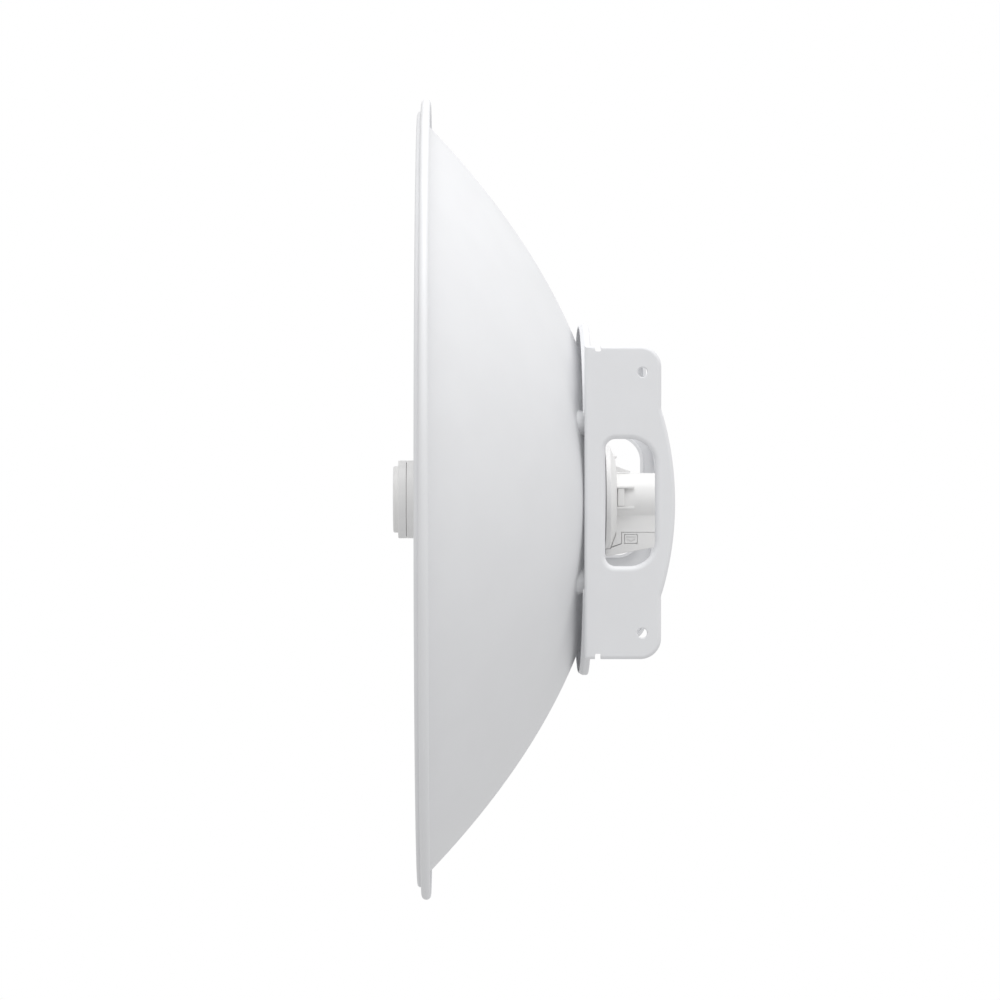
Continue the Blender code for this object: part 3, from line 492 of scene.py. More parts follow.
def circuit_board():
    """Green solder mask over copper tracks, with tinned pads."""
    material, tree, shader, place = new_material("circuit_board", (0.03, 0.17, 0.08), 0.38)
    tracks = tree.add(
        "ShaderNodeTexBrick",
        {"Vector": place, "Scale": 260.0, "Mortar Size": 0.035, "Brick Width": 1.7, "Row Height": 0.42},
    ).outputs["Fac"]
    pads = tree.add("ShaderNodeTexVoronoi", {"Vector": place, "Scale": 520.0}, feature="F1").outputs["Distance"]
    spots = tree.blend(0.16, 0.19, pads, 1.0, 0.0)
    green = tinted(tree, tracks, 0.4, 0.6, (0.025, 0.15, 0.07), (0.05, 0.26, 0.12))
    mix = tree.add("ShaderNodeMix", data_type="RGBA")
    tree.feed(mix.inputs["Factor"], tree.math("MULTIPLY", spots, 0.6))
    tree.feed(mix.inputs[6], green)
    tree.feed(mix.inputs[7], (0.62, 0.60, 0.52, 1))
    tree.feed(shader.inputs["Base Color"], mix.outputs[2])
    tree.feed(shader.inputs["Roughness"], tree.blend(0.0, 1.0, spots, 0.42, 0.25, smooth=False))
    bumped(tree, shader, tracks, 0.03, 0.3)
    return material


def smoked_window():
    """Milky light window: light from behind is diffused by fine ribs."""
    material, tree, shader, place = new_material(
        "smoked_window", (0.30, 0.32, 0.34), 0.18, Transmission_Weight=0.25, Coat_Weight=0.3
    )
    ribs = tree.add(
        "ShaderNodeTexWave", {"Vector": place, "Scale": 420.0}, wave_type="BANDS", bands_direction="X"
    ).outputs["Fac"]
    haze = noise(tree, place, 1.5, 2.0)
    tree.feed(
        shader.inputs["Base Color"], tinted(tree, haze, 0.3, 0.7, (0.26, 0.28, 0.30), (0.36, 0.38, 0.40))
    )
    bumped(tree, shader, ribs, 0.03, 0.3)
    return material


def gold_plate():
    material, tree, shader, place = new_material("gold_plate", (0.85, 0.62, 0.24), 0.22, 1.0)
    haze = noise(tree, place, 0.8, 2.0)
    tree.feed(
        shader.inputs["Base Color"], tinted(tree, haze, 0.3, 0.7, (0.78, 0.55, 0.20), (0.90, 0.68, 0.30))
    )
    tree.feed(shader.inputs["Roughness"], tree.blend(0.3, 0.7, haze, 0.18, 0.32))
    return material


FINISHES = {
    "dish_paint": powder_coat("dish_paint", (0.80, 0.805, 0.82), 0.46, 1.3),
    "yoke_paint": powder_coat("yoke_paint", (0.79, 0.795, 0.81), 0.48, 1.0),
    "white_plastic": moulded_plastic("white_plastic", (0.855, 0.852, 0.846), 0.42),
    "zinc_steel": zinc_plate(),
    "aluminium": turned_aluminium(),
    "black_rubber": black_rubber(),
    "natural_plastic": moulded_plastic("natural_plastic", (0.72, 0.70, 0.64), 0.45, 0.5, 0.02, 0.92),
    "circuit_board": circuit_board(),
    "dark_plastic": moulded_plastic("dark_plastic", (0.06, 0.06, 0.07), 0.5),
    "smoked_window": smoked_window(),
}
GOLD = gold_plate()


def finish_cad_nodes():
    """Every CAD node that is kept gets its slot's finish."""
    for row in frame["record"]["subparts"]:
        node = frame["nodes"][row["node"]]
        node.data.materials.clear()
        node.data.materials.append(FINISHES[row["material_slot"]])


# ---------------------------------------------------------------- dish


def geometry_tree(name, inputs):
    """An empty geometry tree with named inputs, given as {name: socket type}. Geometry comes first."""
    group = bpy.data.node_groups.new(name, "GeometryNodeTree")
    group.interface.new_socket("Geometry", in_out="INPUT", socket_type="NodeSocketGeometry")
    for key, kind in inputs.items():
        group.interface.new_socket(key, in_out="INPUT", socket_type=kind)
    group.interface.new_socket("Geometry", in_out="OUTPUT", socket_type="NodeSocketGeometry")
    tree = Tree(group)
    given = tree.add("NodeGroupInput").outputs
    return group, tree, given


def end_tree(tree, geometry, material):
    """Realize Instances and Set Material, which every tree ends in."""
    real = tree.add("GeometryNodeRealizeInstances", {"Geometry": geometry}).outputs["Geometry"]
    painted = tree.add("GeometryNodeSetMaterial", {"Geometry": real, "Material": material}).outputs["Geometry"]
    tree.feed(tree.add("NodeGroupOutput").inputs["Geometry"], painted)


def with_tree(thing, group, values):
    """Runs a geometry tree on an object and returns the plain mesh that it makes."""
    modifier = thing.modifiers.new(group.name, "NODES")
    modifier.node_group = group
    for item in group.interface.items_tree:
        if item.in_out == "INPUT" and item.name in values:
            modifier[item.identifier] = values[item.name]
    return baked(thing)


def dish_tree():
    """Presses a flat polar net into the dish: a paraboloid with a flat seat round each bolt.

    Net points with a "bowl" value of 1 take the paraboloid's depth; the rim's points keep their own.
    """
    lengths = ("Focal Length", "Vertex", "Sheet", "Seat Depth", "Seat Radius", "Seat Blend")
    lengths += ("Bolt X", "Bolt Z", "Hole Radius")
    kinds = {name: "NodeSocketFloat" for name in lengths}
    kinds["Paint"] = "NodeSocketMaterial"
    group, tree, given = geometry_tree("press_dish", kinds)
    point = tree.add("ShaderNodeSeparateXYZ", {"Vector": tree.add("GeometryNodeInputPosition").outputs[0]})
    x, y, z = point.outputs
    square = tree.math("ADD", tree.math("MULTIPLY", x, x), tree.math("MULTIPLY", z, z))
    slope = tree.math("DIVIDE", tree.math("SQRT", square), tree.math("MULTIPLY", given["Focal Length"], 2.0))
    steepness = tree.math("SQRT", tree.math("ADD", tree.math("MULTIPLY", slope, slope), 1.0))
    half_sheet = tree.math("MULTIPLY", tree.math("MULTIPLY", given["Sheet"], 0.5), steepness)
    sag = tree.math("DIVIDE", square, tree.math("MULTIPLY", given["Focal Length"], 4.0))
    bowl = tree.math("SUBTRACT", tree.math("SUBTRACT", given["Vertex"], sag), half_sheet)
    across = tree.math("SUBTRACT", tree.math("ABSOLUTE", x), given["Bolt X"])
    along = tree.math("SUBTRACT", tree.math("ABSOLUTE", z), given["Bolt Z"])
    away_square = tree.math("ADD", tree.math("MULTIPLY", across, across), tree.math("MULTIPLY", along, along))
    away = tree.math("SQRT", away_square)
    edge = tree.math("ADD", given["Seat Radius"], given["Seat Blend"])
    seated = tree.blend(given["Seat Radius"], edge, away, 1.0, 0.0)
    seat = tree.math("SUBTRACT", given["Seat Depth"], tree.math("MULTIPLY", given["Sheet"], 0.5))
    pressed = tree.math("ADD", bowl, tree.math("MULTIPLY", seated, tree.math("SUBTRACT", seat, bowl)))
    on_bowl = tree.add("GeometryNodeInputNamedAttribute", {"Name": "bowl"}, data_type="FLOAT").outputs["Attribute"]
    depth = tree.math("ADD", y, tree.math("MULTIPLY", on_bowl, tree.math("SUBTRACT", pressed, y)))
    place = tree.add("ShaderNodeCombineXYZ", {"X": x, "Y": depth, "Z": z}).outputs[0]
    moved = tree.add("GeometryNodeSetPosition", {"Geometry": given["Geometry"], "Position": place}).outputs[0]
    in_hole = tree.math("LESS_THAN", away, given["Hole Radius"])
    holed = tree.add(
        "GeometryNodeDeleteGeometry", {"Geometry": moved, "Selection": in_hole}, domain="FACE"
    ).outputs[0]
    end_tree(tree, holed, given["Paint"])
    return group


def spread(start, end, step):
    """Evenly spaced values from start towards end, without the end, no further apart than step."""
    count = max(1, math.ceil((end - start) / step))
    return [start + (end - start) * i / count for i in range(count)]


BOLT_CIRCLE = math.hypot(BOLT_X, BOLT_Z)
SEAT_REACH = SEAT_RADIUS + SEAT_BLEND + 1
NET_COARSE = 6.0
NET_FINE = 1.0


def net_radii():
    """Radii of the bowl's rows, close together where the seats are."""
    radii = spread(HUB_RADIUS, BOLT_CIRCLE - SEAT_REACH, NET_COARSE)
    radii += spread(BOLT_CIRCLE - SEAT_REACH, BOLT_CIRCLE + SEAT_REACH, NET_FINE)
    radii += spread(BOLT_CIRCLE + SEAT_REACH, BOWL_RADIUS, NET_COARSE)
    return radii


def net_turns():
    """Angles of the net's columns in radians, close together where the seats are."""
    first = math.atan2(BOLT_Z, BOLT_X)
    spare = SEAT_REACH / BOLT_CIRCLE
    seats = sorted((first, math.pi - first, math.pi + first, 2 * math.pi - first))
    turns = []
    at = seats[-1] + spare - 2 * math.pi
    for seat in seats:
        turns += spread(at, seat - spare, math.radians(1.5))
        turns += spread(seat - spare, seat + spare, NET_FINE / BOLT_CIRCLE)
        at = seat + spare
    return turns


def rim_line():
    """Middle line of the sheet beyond the bowl: the bead, the step back, the flange and its curl."""
    half = SHEET / 2
    bead_y = BEAD_FRONT_Y + half
    flange_y = FLANGE_FRONT_Y + half
    curl = RIM_RADIUS - CURL_RADIUS
    slope = BOWL_RADIUS / (2 * FOCAL_LENGTH)
    lead = 4.0  # only gives the bowl's slope to the first corner
    start = (BOWL_RADIUS - lead, bead_y + lead * slope + 0.2)
    corner = (BOWL_RADIUS - 0.4, bead_y)
    points = [start, corner, (BEAD_RADIUS - half, bead_y), (BEAD_RADIUS - half, flange_y), (curl, flange_y)]
    line = filleted(points, (0, 0.8, 1.5, 0.9, 0), closed=False)
    hook = arc((curl, FLANGE_FRONT_Y + CURL_RADIUS), CURL_RADIUS - half, -90, 80, 12)
    return line[1:] + hook[1:]


def make_dish():
    shape = bmesh.new()
    on_bowl = shape.verts.layers.float.new("bowl")
    rows = [(r, 0.0, 1.0) for r in net_radii()]
    rows += [(r, y, 0.0) for r, y in rim_line()]
    turns = net_turns()
    rings = []
    for radius, y, share in rows:
        ring = [shape.verts.new((radius * math.cos(a), y, radius * math.sin(a))) for a in turns]
        for vertex in ring:
            vertex[on_bowl] = share
        rings.append(ring)
    for inner, outer in zip(rings, rings[1:]):
        for i in range(len(turns)):
            j = (i + 1) % len(turns)
            shape.faces.new((inner[i], inner[j], outer[j], outer[i]))
    net = new_object("dish_net", shape)
    values = {
        "Focal Length": FOCAL_LENGTH * MM,
        "Vertex": VERTEX_Y * MM,
        "Sheet": SHEET * MM,
        "Seat Depth": SEAT_BACK_Y * MM,
        "Seat Radius": SEAT_RADIUS * MM,
        "Seat Blend": SEAT_BLEND * MM,
        "Bolt X": BOLT_X * MM,
        "Bolt Z": BOLT_Z * MM,
        "Hole Radius": BOLT_HOLE * MM,
        "Paint": FINISHES["dish_paint"],
    }
    dish = with_tree(net, dish_tree(), values)
    wall = dish.modifiers.new("sheet", "SOLIDIFY")
    wall.thickness = SHEET * MM
    wall.offset = 0
    wall.use_even_offset = True
    dish = smoothed(baked(dish), 40)
    placed(dish, "dish_shell", "dish_paint", "mount", "dish_reflector")


# ---------------------------------------------------------------- ring and ears


def make_ring():
    """The mounting ring: a flat annulus with a lip towards the dish and a flat side under each ear."""
    rear, front, lip = ring_high.y, ring_high.y - RING_SHEET, ring_low.y
    radius = ring_high.z
    bore = radius - RING_WIDTH
    corners = [
        (bore, front, 0.8),
        (radius - RING_LIP_WALL, front, 1.2),
        (radius - RING_LIP_WALL, lip, 0.4),
        (radius - RING_LIP_TIP, lip, 1.2),
        (radius, lip + RING_LIP_BEVEL, 2.4),
        (radius, rear, 1.4),
        (bore, rear, 0.8),
    ]
    ring = turned("ring", rounded(corners, 6), RING_TURNS)
    reach = radius + PAST
    low_y, high_y = lip - PAST, rear + PAST
    cutters = []
    for sign in (-1, 1):
        low_x, high_x = sorted((sign * ring_high.x, sign * reach))
        cutters.append(block("side", (low_x, low_y, -reach), (high_x, high_y, reach)))
    cutters += [bar("hole", place, "Y", low_y, high_y, BOLT_HOLE) for place in bolt_places()]
    ring = smoothed(softened(cut(ring, *cutters), FINE_EDGE, 50))
    placed(ring, "yoke_ring", "yoke_paint", "mount", "mounting_ring")


EAR_SHEET = 2.5
EAR_CORNER = 16.3
EAR_EDGE_ROUND = 3.0
EAR_LIP_DEPTH = 9.0
EAR_TOP = ear_high.z
EAR_FRONT_Y = ear_low.y
EAR_OUTER_X = ear_high.x
GRIP_REAR_Y = ear_high.y
EAR_REAR_Y = GRIP_REAR_Y - 10.9
GRIP_RADIUS = 250.0
HAND_HOLE_HALF_HEIGHT = 49.6
HAND_HOLE_FRONT_Y = ring_high.y + 9.8
HAND_HOLE_REAR_Y = 10.0
HAND_HOLE_FRONT_CORNER = 8.0
HAND_HOLE_REAR_CORNER = 20.0
HAND_HOLE_ROLL = 4.2
HAND_HOLE_COLLAR = 7.5
GRIP_HALF_LENGTH = HAND_HOLE_HALF_HEIGHT + 26.4
GRIP_BLEND = 9.0
NOTCH_FRONT_Y = ring_high.y + 1.7
NOTCH_REAR_Y = NOTCH_FRONT_Y + 4.6
NOTCH_DEPTH = 4.3
EAR_HOLE_RADIUS = 3.7
EAR_HOLE_ROLL = 1.1
EAR_HOLE_Z = EAR_TOP - 20.4
TAB_REACH = 11.0
TAB_HALF_HEIGHT = 15.0


def grip_edge_y(z):
    """The ear's rear edge: straight, with a bow outwards where a hand grips it."""
    if abs(z) >= GRIP_HALF_LENGTH:
        return EAR_REAR_Y
    bow = GRIP_REAR_Y - GRIP_RADIUS + math.sqrt(GRIP_RADIUS**2 - z * z)
    share = min(1.0, (GRIP_HALF_LENGTH - abs(z)) / GRIP_BLEND)
    return EAR_REAR_Y + (bow - EAR_REAR_Y) * math.sin(share * math.pi / 2)


def ear_outline():
    """Anticlockwise (y, z) points of an ear, before its notches are cut."""
    corner = (EAR_REAR_Y - EAR_CORNER, EAR_TOP - EAR_CORNER)
    blend_steps, bow_steps = 12, 24
    blend = [GRIP_HALF_LENGTH - GRIP_BLEND * i / blend_steps for i in range(blend_steps + 1)]
    bow = [blend[-1] * (bow_steps - i) / bow_steps for i in range(1, bow_steps)]
    grip = [(grip_edge_y(z), z) for z in blend + bow]
    upper = arc(corner, EAR_CORNER, 0, 90, 16)
    upper += [(EAR_FRONT_Y, EAR_TOP)]
    half = [(grip_edge_y(0), 0.0)] + grip[::-1] + upper
    return upside_down(half[1:]) + half


def hand_hole_outline():
    """Anticlockwise points of the hand hole: tight corners in front, wide ones behind."""
    top = HAND_HOLE_HALF_HEIGHT
    front, rear = HAND_HOLE_FRONT_CORNER, HAND_HOLE_REAR_CORNER
    upper = arc((HAND_HOLE_REAR_Y - rear, top - rear), rear, 0, 90, 20)
    upper += arc((HAND_HOLE_FRONT_Y + front, top - front), front, 90, 180, 12)
    return upper + upside_down(upper)


def rolled_cutter(outline, sign, roll):
    """Cuts an opening through an ear, its outer edge rolled inwards by a radius."""
    deep_x = EAR_OUTER_X - 5 * PAST
    levels = [(sign * deep_x, outline), (sign * (EAR_OUTER_X - roll), outline)]
    steps = 8
    for i in range(1, steps + 1):
        turn = math.pi / 2 * i / steps
        depth = roll * (1 - math.sin(turn))
        levels.append((sign * (EAR_OUTER_X - depth), offset_outline(outline, roll * (1 - math.cos(turn)))))
    levels.append((sign * (EAR_OUTER_X + PAST), offset_outline(outline, roll + 0.01)))
    return stacked("opening", levels, "X")


def make_ear(side, sign):
    """One pressed ear, made with its outside towards sign * X."""
    inner = EAR_OUTER_X - EAR_SHEET
    lip = EAR_OUTER_X - EAR_LIP_DEPTH
    outline = ear_outline()
    ear = slab("ear", outline, "X", sign * lip, sign * EAR_OUTER_X, 0.6, EAR_EDGE_ROUND, 8)
    inside = offset_outline(outline, -EAR_SHEET)
    hollow = slab("hollow", inside, "X", sign * (lip - PAST), sign * inner, 0, 1.2)
    far, top = EAR_FRONT_Y - PAST, EAR_TOP + PAST
    strip = [(far, -top), (NOTCH_REAR_Y, -top), (NOTCH_REAR_Y, top), (far, top)]
    ear = cut(ear, hollow, slab("strip", strip, "X", sign * (lip - PAST), sign * inner))
    hole = hand_hole_outline()
    deep_x, shallow_x = sign * (EAR_OUTER_X - HAND_HOLE_COLLAR), sign * (EAR_OUTER_X - 1)
    collar = slab("collar", offset_outline(hole, EAR_SHEET), "X", deep_x, shallow_x, 0.8, 0)
    tabs = []
    for end in (1, -1):
        low_x, high_x = sorted((sign * (BOLT_X - TAB_REACH), sign * (inner + 1)))
        tab_y, tab_z = ring_high.y + GAP, end * BOLT_Z
        low = (low_x, tab_y, tab_z - TAB_HALF_HEIGHT)
        high = (high_x, tab_y + EAR_SHEET, tab_z + TAB_HALF_HEIGHT)
        tabs.append(block("tab", low, high))
    ear = join(ear, collar, *tabs)
    cutters = [rolled_cutter(hole, sign, HAND_HOLE_ROLL)]
    low_x, high_x = sorted((sign * (lip - PAST), sign * (EAR_OUTER_X + PAST)))
    for end in (1, -1):
        round_hole = arc((0, end * EAR_HOLE_Z), EAR_HOLE_RADIUS, 0, 352.5, 47)
        cutters.append(rolled_cutter(round_hole, sign, EAR_HOLE_ROLL))
        notch = [(NOTCH_FRONT_Y, EAR_TOP - NOTCH_DEPTH), (NOTCH_REAR_Y, EAR_TOP - NOTCH_DEPTH)]
        notch += [(NOTCH_REAR_Y, EAR_TOP + PAST), (NOTCH_FRONT_Y, EAR_TOP + PAST)]
        notch = filleted(notch, (1.2, 1.2, 0, 0))
        if end < 0:
            notch = upside_down(notch)
        cutters.append(slab("notch", notch, "X", low_x, high_x))
        place = (sign * BOLT_X, end * BOLT_Z)
        cutters.append(bar("tab_hole", place, "Y", ring_high.y, ring_high.y + 2 * PAST, BOLT_HOLE))
    ear = smoothed(softened(cut(ear, *cutters), FINE_EDGE, 50))
    placed(ear, f"{side}_ear_pressing", "yoke_paint", "mount", f"{side}_ear")


# ---------------------------------------------------------------- bolts and nuts

BOLT_HEAD_RADIUS = 6.5
BOLT_HEAD_HEIGHT = 2.47
BOLT_DOME_SHARE = 0.8  # of the head's height, the rest is a straight edge
BOLT_CHAMFER = 0.6
BOLT_SHANK = 4.0  # plain length behind the head
THREAD_PITCH = 1.0
THREAD_CORE = 2.55
THREAD_DEPTH = 0.42
NUT_ACROSS_FLATS = 10.0
NUT_FLANGE_RADIUS = 7.0
NUT_FLANGE_EDGE = 0.6
NUT_CONE_RADIUS = 5.2
NUT_CONE_HEIGHT = 2.1
NUT_BORE = 3.2
NUT_COUNTERSINK = 3.9


def thread_tree():
    """Winds a screw thread round a plain bolt that lies along Y."""
    kinds = {name: "NodeSocketFloat" for name in ("Core", "Depth", "Start", "Length", "Turns")}
    kinds["Paint"] = "NodeSocketMaterial"
    group, tree, given = geometry_tree("cut_thread", kinds)
    spiral = tree.add(
        "GeometryNodeCurveSpiral",
        {"Resolution": 28, "Rotations": given["Turns"], "Start Radius": given["Core"], "End Radius": given["Core"]},
    )
    tree.feed(spiral.inputs["Height"], given["Length"])
    section = tree.add("GeometryNodeCurvePrimitiveCircle", {"Resolution": 4, "Radius": given["Depth"]}).outputs[0]
    ridge = tree.add("GeometryNodeCurveToMesh", {"Curve": spiral.outputs[0], "Profile Curve": section})
    ridge.inputs["Fill Caps"].default_value = True
    start = tree.add("ShaderNodeCombineXYZ", {"Y": given["Start"]}).outputs[0]
    laid = tree.add(
        "GeometryNodeTransform",
        {"Geometry": ridge.outputs[0], "Translation": start, "Rotation": (-math.pi / 2, 0, 0)},
    ).outputs[0]
    both = tree.add("GeometryNodeJoinGeometry")
    tree.feed(both.inputs[0], laid)
    tree.feed(both.inputs[0], given["Geometry"])
    end_tree(tree, both.outputs[0], given["Paint"])
    return group


def four_places_tree():
    """Puts a copy of a fastener at each of the four bolt places."""
    kinds = {"Bolt X": "NodeSocketFloat", "Bolt Z": "NodeSocketFloat", "Paint": "NodeSocketMaterial"}
    group, tree, given = geometry_tree("at_four_places", kinds)
    grid = tree.add(
        "GeometryNodeMeshGrid",
        {
            "Size X": tree.math("MULTIPLY", given["Bolt X"], 2.0),
            "Size Y": tree.math("MULTIPLY", given["Bolt Z"], 2.0),
            "Vertices X": 2,
            "Vertices Y": 2,
        },
    ).outputs[0]
    upright = tree.add("GeometryNodeTransform", {"Geometry": grid, "Rotation": (math.pi / 2, 0, 0)}).outputs[0]
    copies = tree.add("GeometryNodeInstanceOnPoints", {"Points": upright, "Instance": given["Geometry"]}).outputs[0]
    end_tree(tree, copies, given["Paint"])
    return group


def at_four_places(thing):
    values = {"Bolt X": BOLT_X * MM, "Bolt Z": BOLT_Z * MM, "Paint": FINISHES["zinc_steel"]}
    return with_tree(thing, four_places_tree(), values)


def make_bolts():
    """Domed carriage bolts, threaded behind their heads."""
    head_rear = SEAT_BACK_Y - SHEET - GAP
    tip = bolt_high.y
    steps = 8
    dome = []
    for i in range(steps + 1):
        turn = math.pi / 2 * i / steps
        drop = BOLT_HEAD_HEIGHT * (1 - math.cos(turn)) * BOLT_DOME_SHARE
        dome.append((BOLT_HEAD_RADIUS * math.sin(turn), head_rear - BOLT_HEAD_HEIGHT + drop))
    core = THREAD_CORE
    profile = dome + [(BOLT_HEAD_RADIUS, head_rear), (core, head_rear)]
    profile += [(core, tip - BOLT_CHAMFER), (core - BOLT_CHAMFER, tip), (0, tip)]
    bolt = turned("bolt", profile, 40)
    start = head_rear + BOLT_SHANK
    length = tip - 0.9 - start
    values = {
        "Core": core * MM,
        "Depth": THREAD_DEPTH * MM,
        "Start": start * MM,
        "Length": length * MM,
        "Turns": length / THREAD_PITCH,
        "Paint": FINISHES["zinc_steel"],
    }
    bolts = smoothed(at_four_places(with_tree(bolt, thread_tree(), values)), 35)
    nodes = [f"carriage_bolt_{n}" for n in range(1, 5)]
    placed(bolts, "carriage_bolts", "zinc_steel", "mount", *nodes)


def make_nuts():
    """Hexagon flange nuts: chamfered corners, a coned flange and a countersunk bore."""
    front, rear = nut_low.y, nut_high.y
    corner = NUT_ACROSS_FLATS / math.sqrt(3)
    nut = bar("nut", (0, 0), "Y", front + NUT_FLANGE_EDGE, rear, corner, 6)
    chamfer = [(0, front), (corner + 1, front), (corner + 1, rear - 1.0), (corner - 1.1, rear), (0, rear)]
    nut = combined(nut, "INTERSECT", [turned("chamfer", chamfer, 48)])
    flange = [
        (0, front),
        (NUT_FLANGE_RADIUS - 0.2, front),
        (NUT_FLANGE_RADIUS, front + 0.2),
        (NUT_FLANGE_RADIUS, front + NUT_FLANGE_EDGE),
        (NUT_CONE_RADIUS, front + NUT_CONE_HEIGHT),
        (0, front + NUT_CONE_HEIGHT),
    ]
    bore = [(0, front - PAST), (NUT_BORE, front - PAST), (NUT_BORE, rear - 0.5)]
    bore += [(NUT_COUNTERSINK, rear + 0.2), (NUT_COUNTERSINK, rear + PAST), (0, rear + PAST)]
    nut = cut(join(nut, turned("flange", flange, 64)), turned("bore", bore, 40))
    nuts = smoothed(at_four_places(softened(nut, 0.15, 30)), 35)
    nodes = [f"flange_nut_{n}" for n in range(1, 5)]
    placed(nuts, "flange_nuts", "zinc_steel", "mount", *nodes)


# ---------------------------------------------------------------- feed

FEED_WALL = 2.2
FEED_HEAD_RADIUS = tube_high.x - 4.5
FEED_HEAD_REAR_Y = tube_low.y + 21.0
FEED_WAIST_RADIUS = 26.5
FEED_WAIST_Y = tube_low.y + 33.0
FEED_TUBE_RADIUS = 28.5
FEED_STOP_RADIUS = tube_high.x
FEED_SPIGOT_RADIUS = 30.0
FEED_SPIGOT_REAR_Y = tube_high.y - 8.0
FEED_SLEEVE_RADIUS = 19.0
FEED_STOP_THICKNESS = 3.0

CAP_DISC_RADIUS = FEED_HEAD_RADIUS - 4.6
CAP_CROWN = 0.3
CAP_DISC_HEIGHT = 4.3
CAP_DISC_THICKNESS = 6.2
CAP_RING_DEPTH = 9.3
CAP_LIP = 1.0
CAP_SPIGOT_WALL = 2.4


def dish_front_y(radius):
    slope = radius / (2 * FOCAL_LENGTH)
    return VERTEX_Y - radius**2 / (4 * FOCAL_LENGTH) - SHEET * math.sqrt(1 + slope**2)


def make_feed_tube():
    """The in-feed radio's tube: head, waist, long taper, stop flange and rear sleeve."""
    stop_rear = dish_front_y(FEED_STOP_RADIUS) - GAP
    stop_front = stop_rear - FEED_STOP_THICKNESS
    wall = FEED_WALL
    front, rear = tube_low.y, tube_high.y
    corners = [
        (FEED_HEAD_RADIUS, front, 0.5),
        (FEED_HEAD_RADIUS, FEED_HEAD_REAR_Y, 3.0),
        (FEED_WAIST_RADIUS, FEED_WAIST_Y, 3.0),
        (FEED_TUBE_RADIUS, stop_front, 1.5),
        (FEED_STOP_RADIUS, stop_front, 0.8),
        (FEED_STOP_RADIUS, stop_rear, 0.4),
        (FEED_SPIGOT_RADIUS, stop_rear, 0.4),
        (FEED_SPIGOT_RADIUS, FEED_SPIGOT_REAR_Y, 0.6),
        (FEED_SLEEVE_RADIUS, FEED_SPIGOT_REAR_Y, 0.6),
        (FEED_SLEEVE_RADIUS, rear, 0.5),
        (FEED_SLEEVE_RADIUS - wall, rear, 0.3),
        (FEED_SLEEVE_RADIUS - wall, FEED_SPIGOT_REAR_Y - wall, 0.5),
        (FEED_TUBE_RADIUS - wall, FEED_SPIGOT_REAR_Y - wall, 0.5),
        (FEED_TUBE_RADIUS - wall, stop_front, 1.5),
        (FEED_WAIST_RADIUS - wall, FEED_WAIST_Y + wall / 2, 2.0),
        (FEED_HEAD_RADIUS - wall, FEED_HEAD_REAR_Y + wall / 2, 2.0),
        (FEED_HEAD_RADIUS - wall, front, 0.3),
    ]
    tube = smoothed(turned("tube", rounded(corners)), 40)
    placed(tube, "feed_body", "white_plastic", "mount", "feed_tube")


def make_nose_cap():
    """The feed's front cap: a crowned disc that stands proud of a wider ring."""
    front, rear = cap_low.y, cap_high.y
    step = front + CAP_DISC_HEIGHT
    ring_rear = front + CAP_RING_DEPTH
    inside = front + CAP_DISC_THICKNESS
    spigot = FEED_HEAD_RADIUS - FEED_WALL - 0.5
    cavity = spigot - CAP_SPIGOT_WALL
    rings = 10
    corners = [(CAP_DISC_RADIUS * i / rings, front + CAP_CROWN * (i / rings) ** 2, 0) for i in range(rings)]
    corners += [
        (CAP_DISC_RADIUS, front + CAP_CROWN, 1.4),
        (CAP_DISC_RADIUS, step, 0.5),
        (FEED_HEAD_RADIUS, step, 1.0),
        (FEED_HEAD_RADIUS, tube_low.y - GAP, 0.3),
        (FEED_HEAD_RADIUS - CAP_LIP, tube_low.y - GAP, 0.2),
        (FEED_HEAD_RADIUS - CAP_LIP, ring_rear, 0.3),
        (spigot, ring_rear, 0.3),
        (spigot, rear, 0.4),
        (cavity, rear, 0.3),
        (cavity, inside, 0.6),
        (0, inside, 0),
    ]
    cap = smoothed(turned("cap", rounded(corners)), 40)
    placed(cap, "front_cap", "white_plastic", "mount", "nose_cap")


COLLAR_SHOULDER_RADIUS = 33.0
COLLAR_SHOULDER_Y = -16.4
COLLAR_REAR_Y = -15.6
COLLAR_SHOULDER_WIDTH = 7.0
COLLAR_WALL = 3.4
COLLAR_SPARE = 0.5  # room round the tube
COLLAR_LAND_RADIUS = 37.0
COLLAR_POCKET = 0.9
COLLAR_RIM = 3.2
COLLAR_EDGE_WIDTH = 2.2
COLLAR_EDGE_PROUD = 0.8
RIB_SPACING = 8.0
RIB_HALF_THICKNESS = 0.9
RIB_FRONT_TOP = 28.0
PIP_RADIUS = 1.6
PIP_Z = 34.5


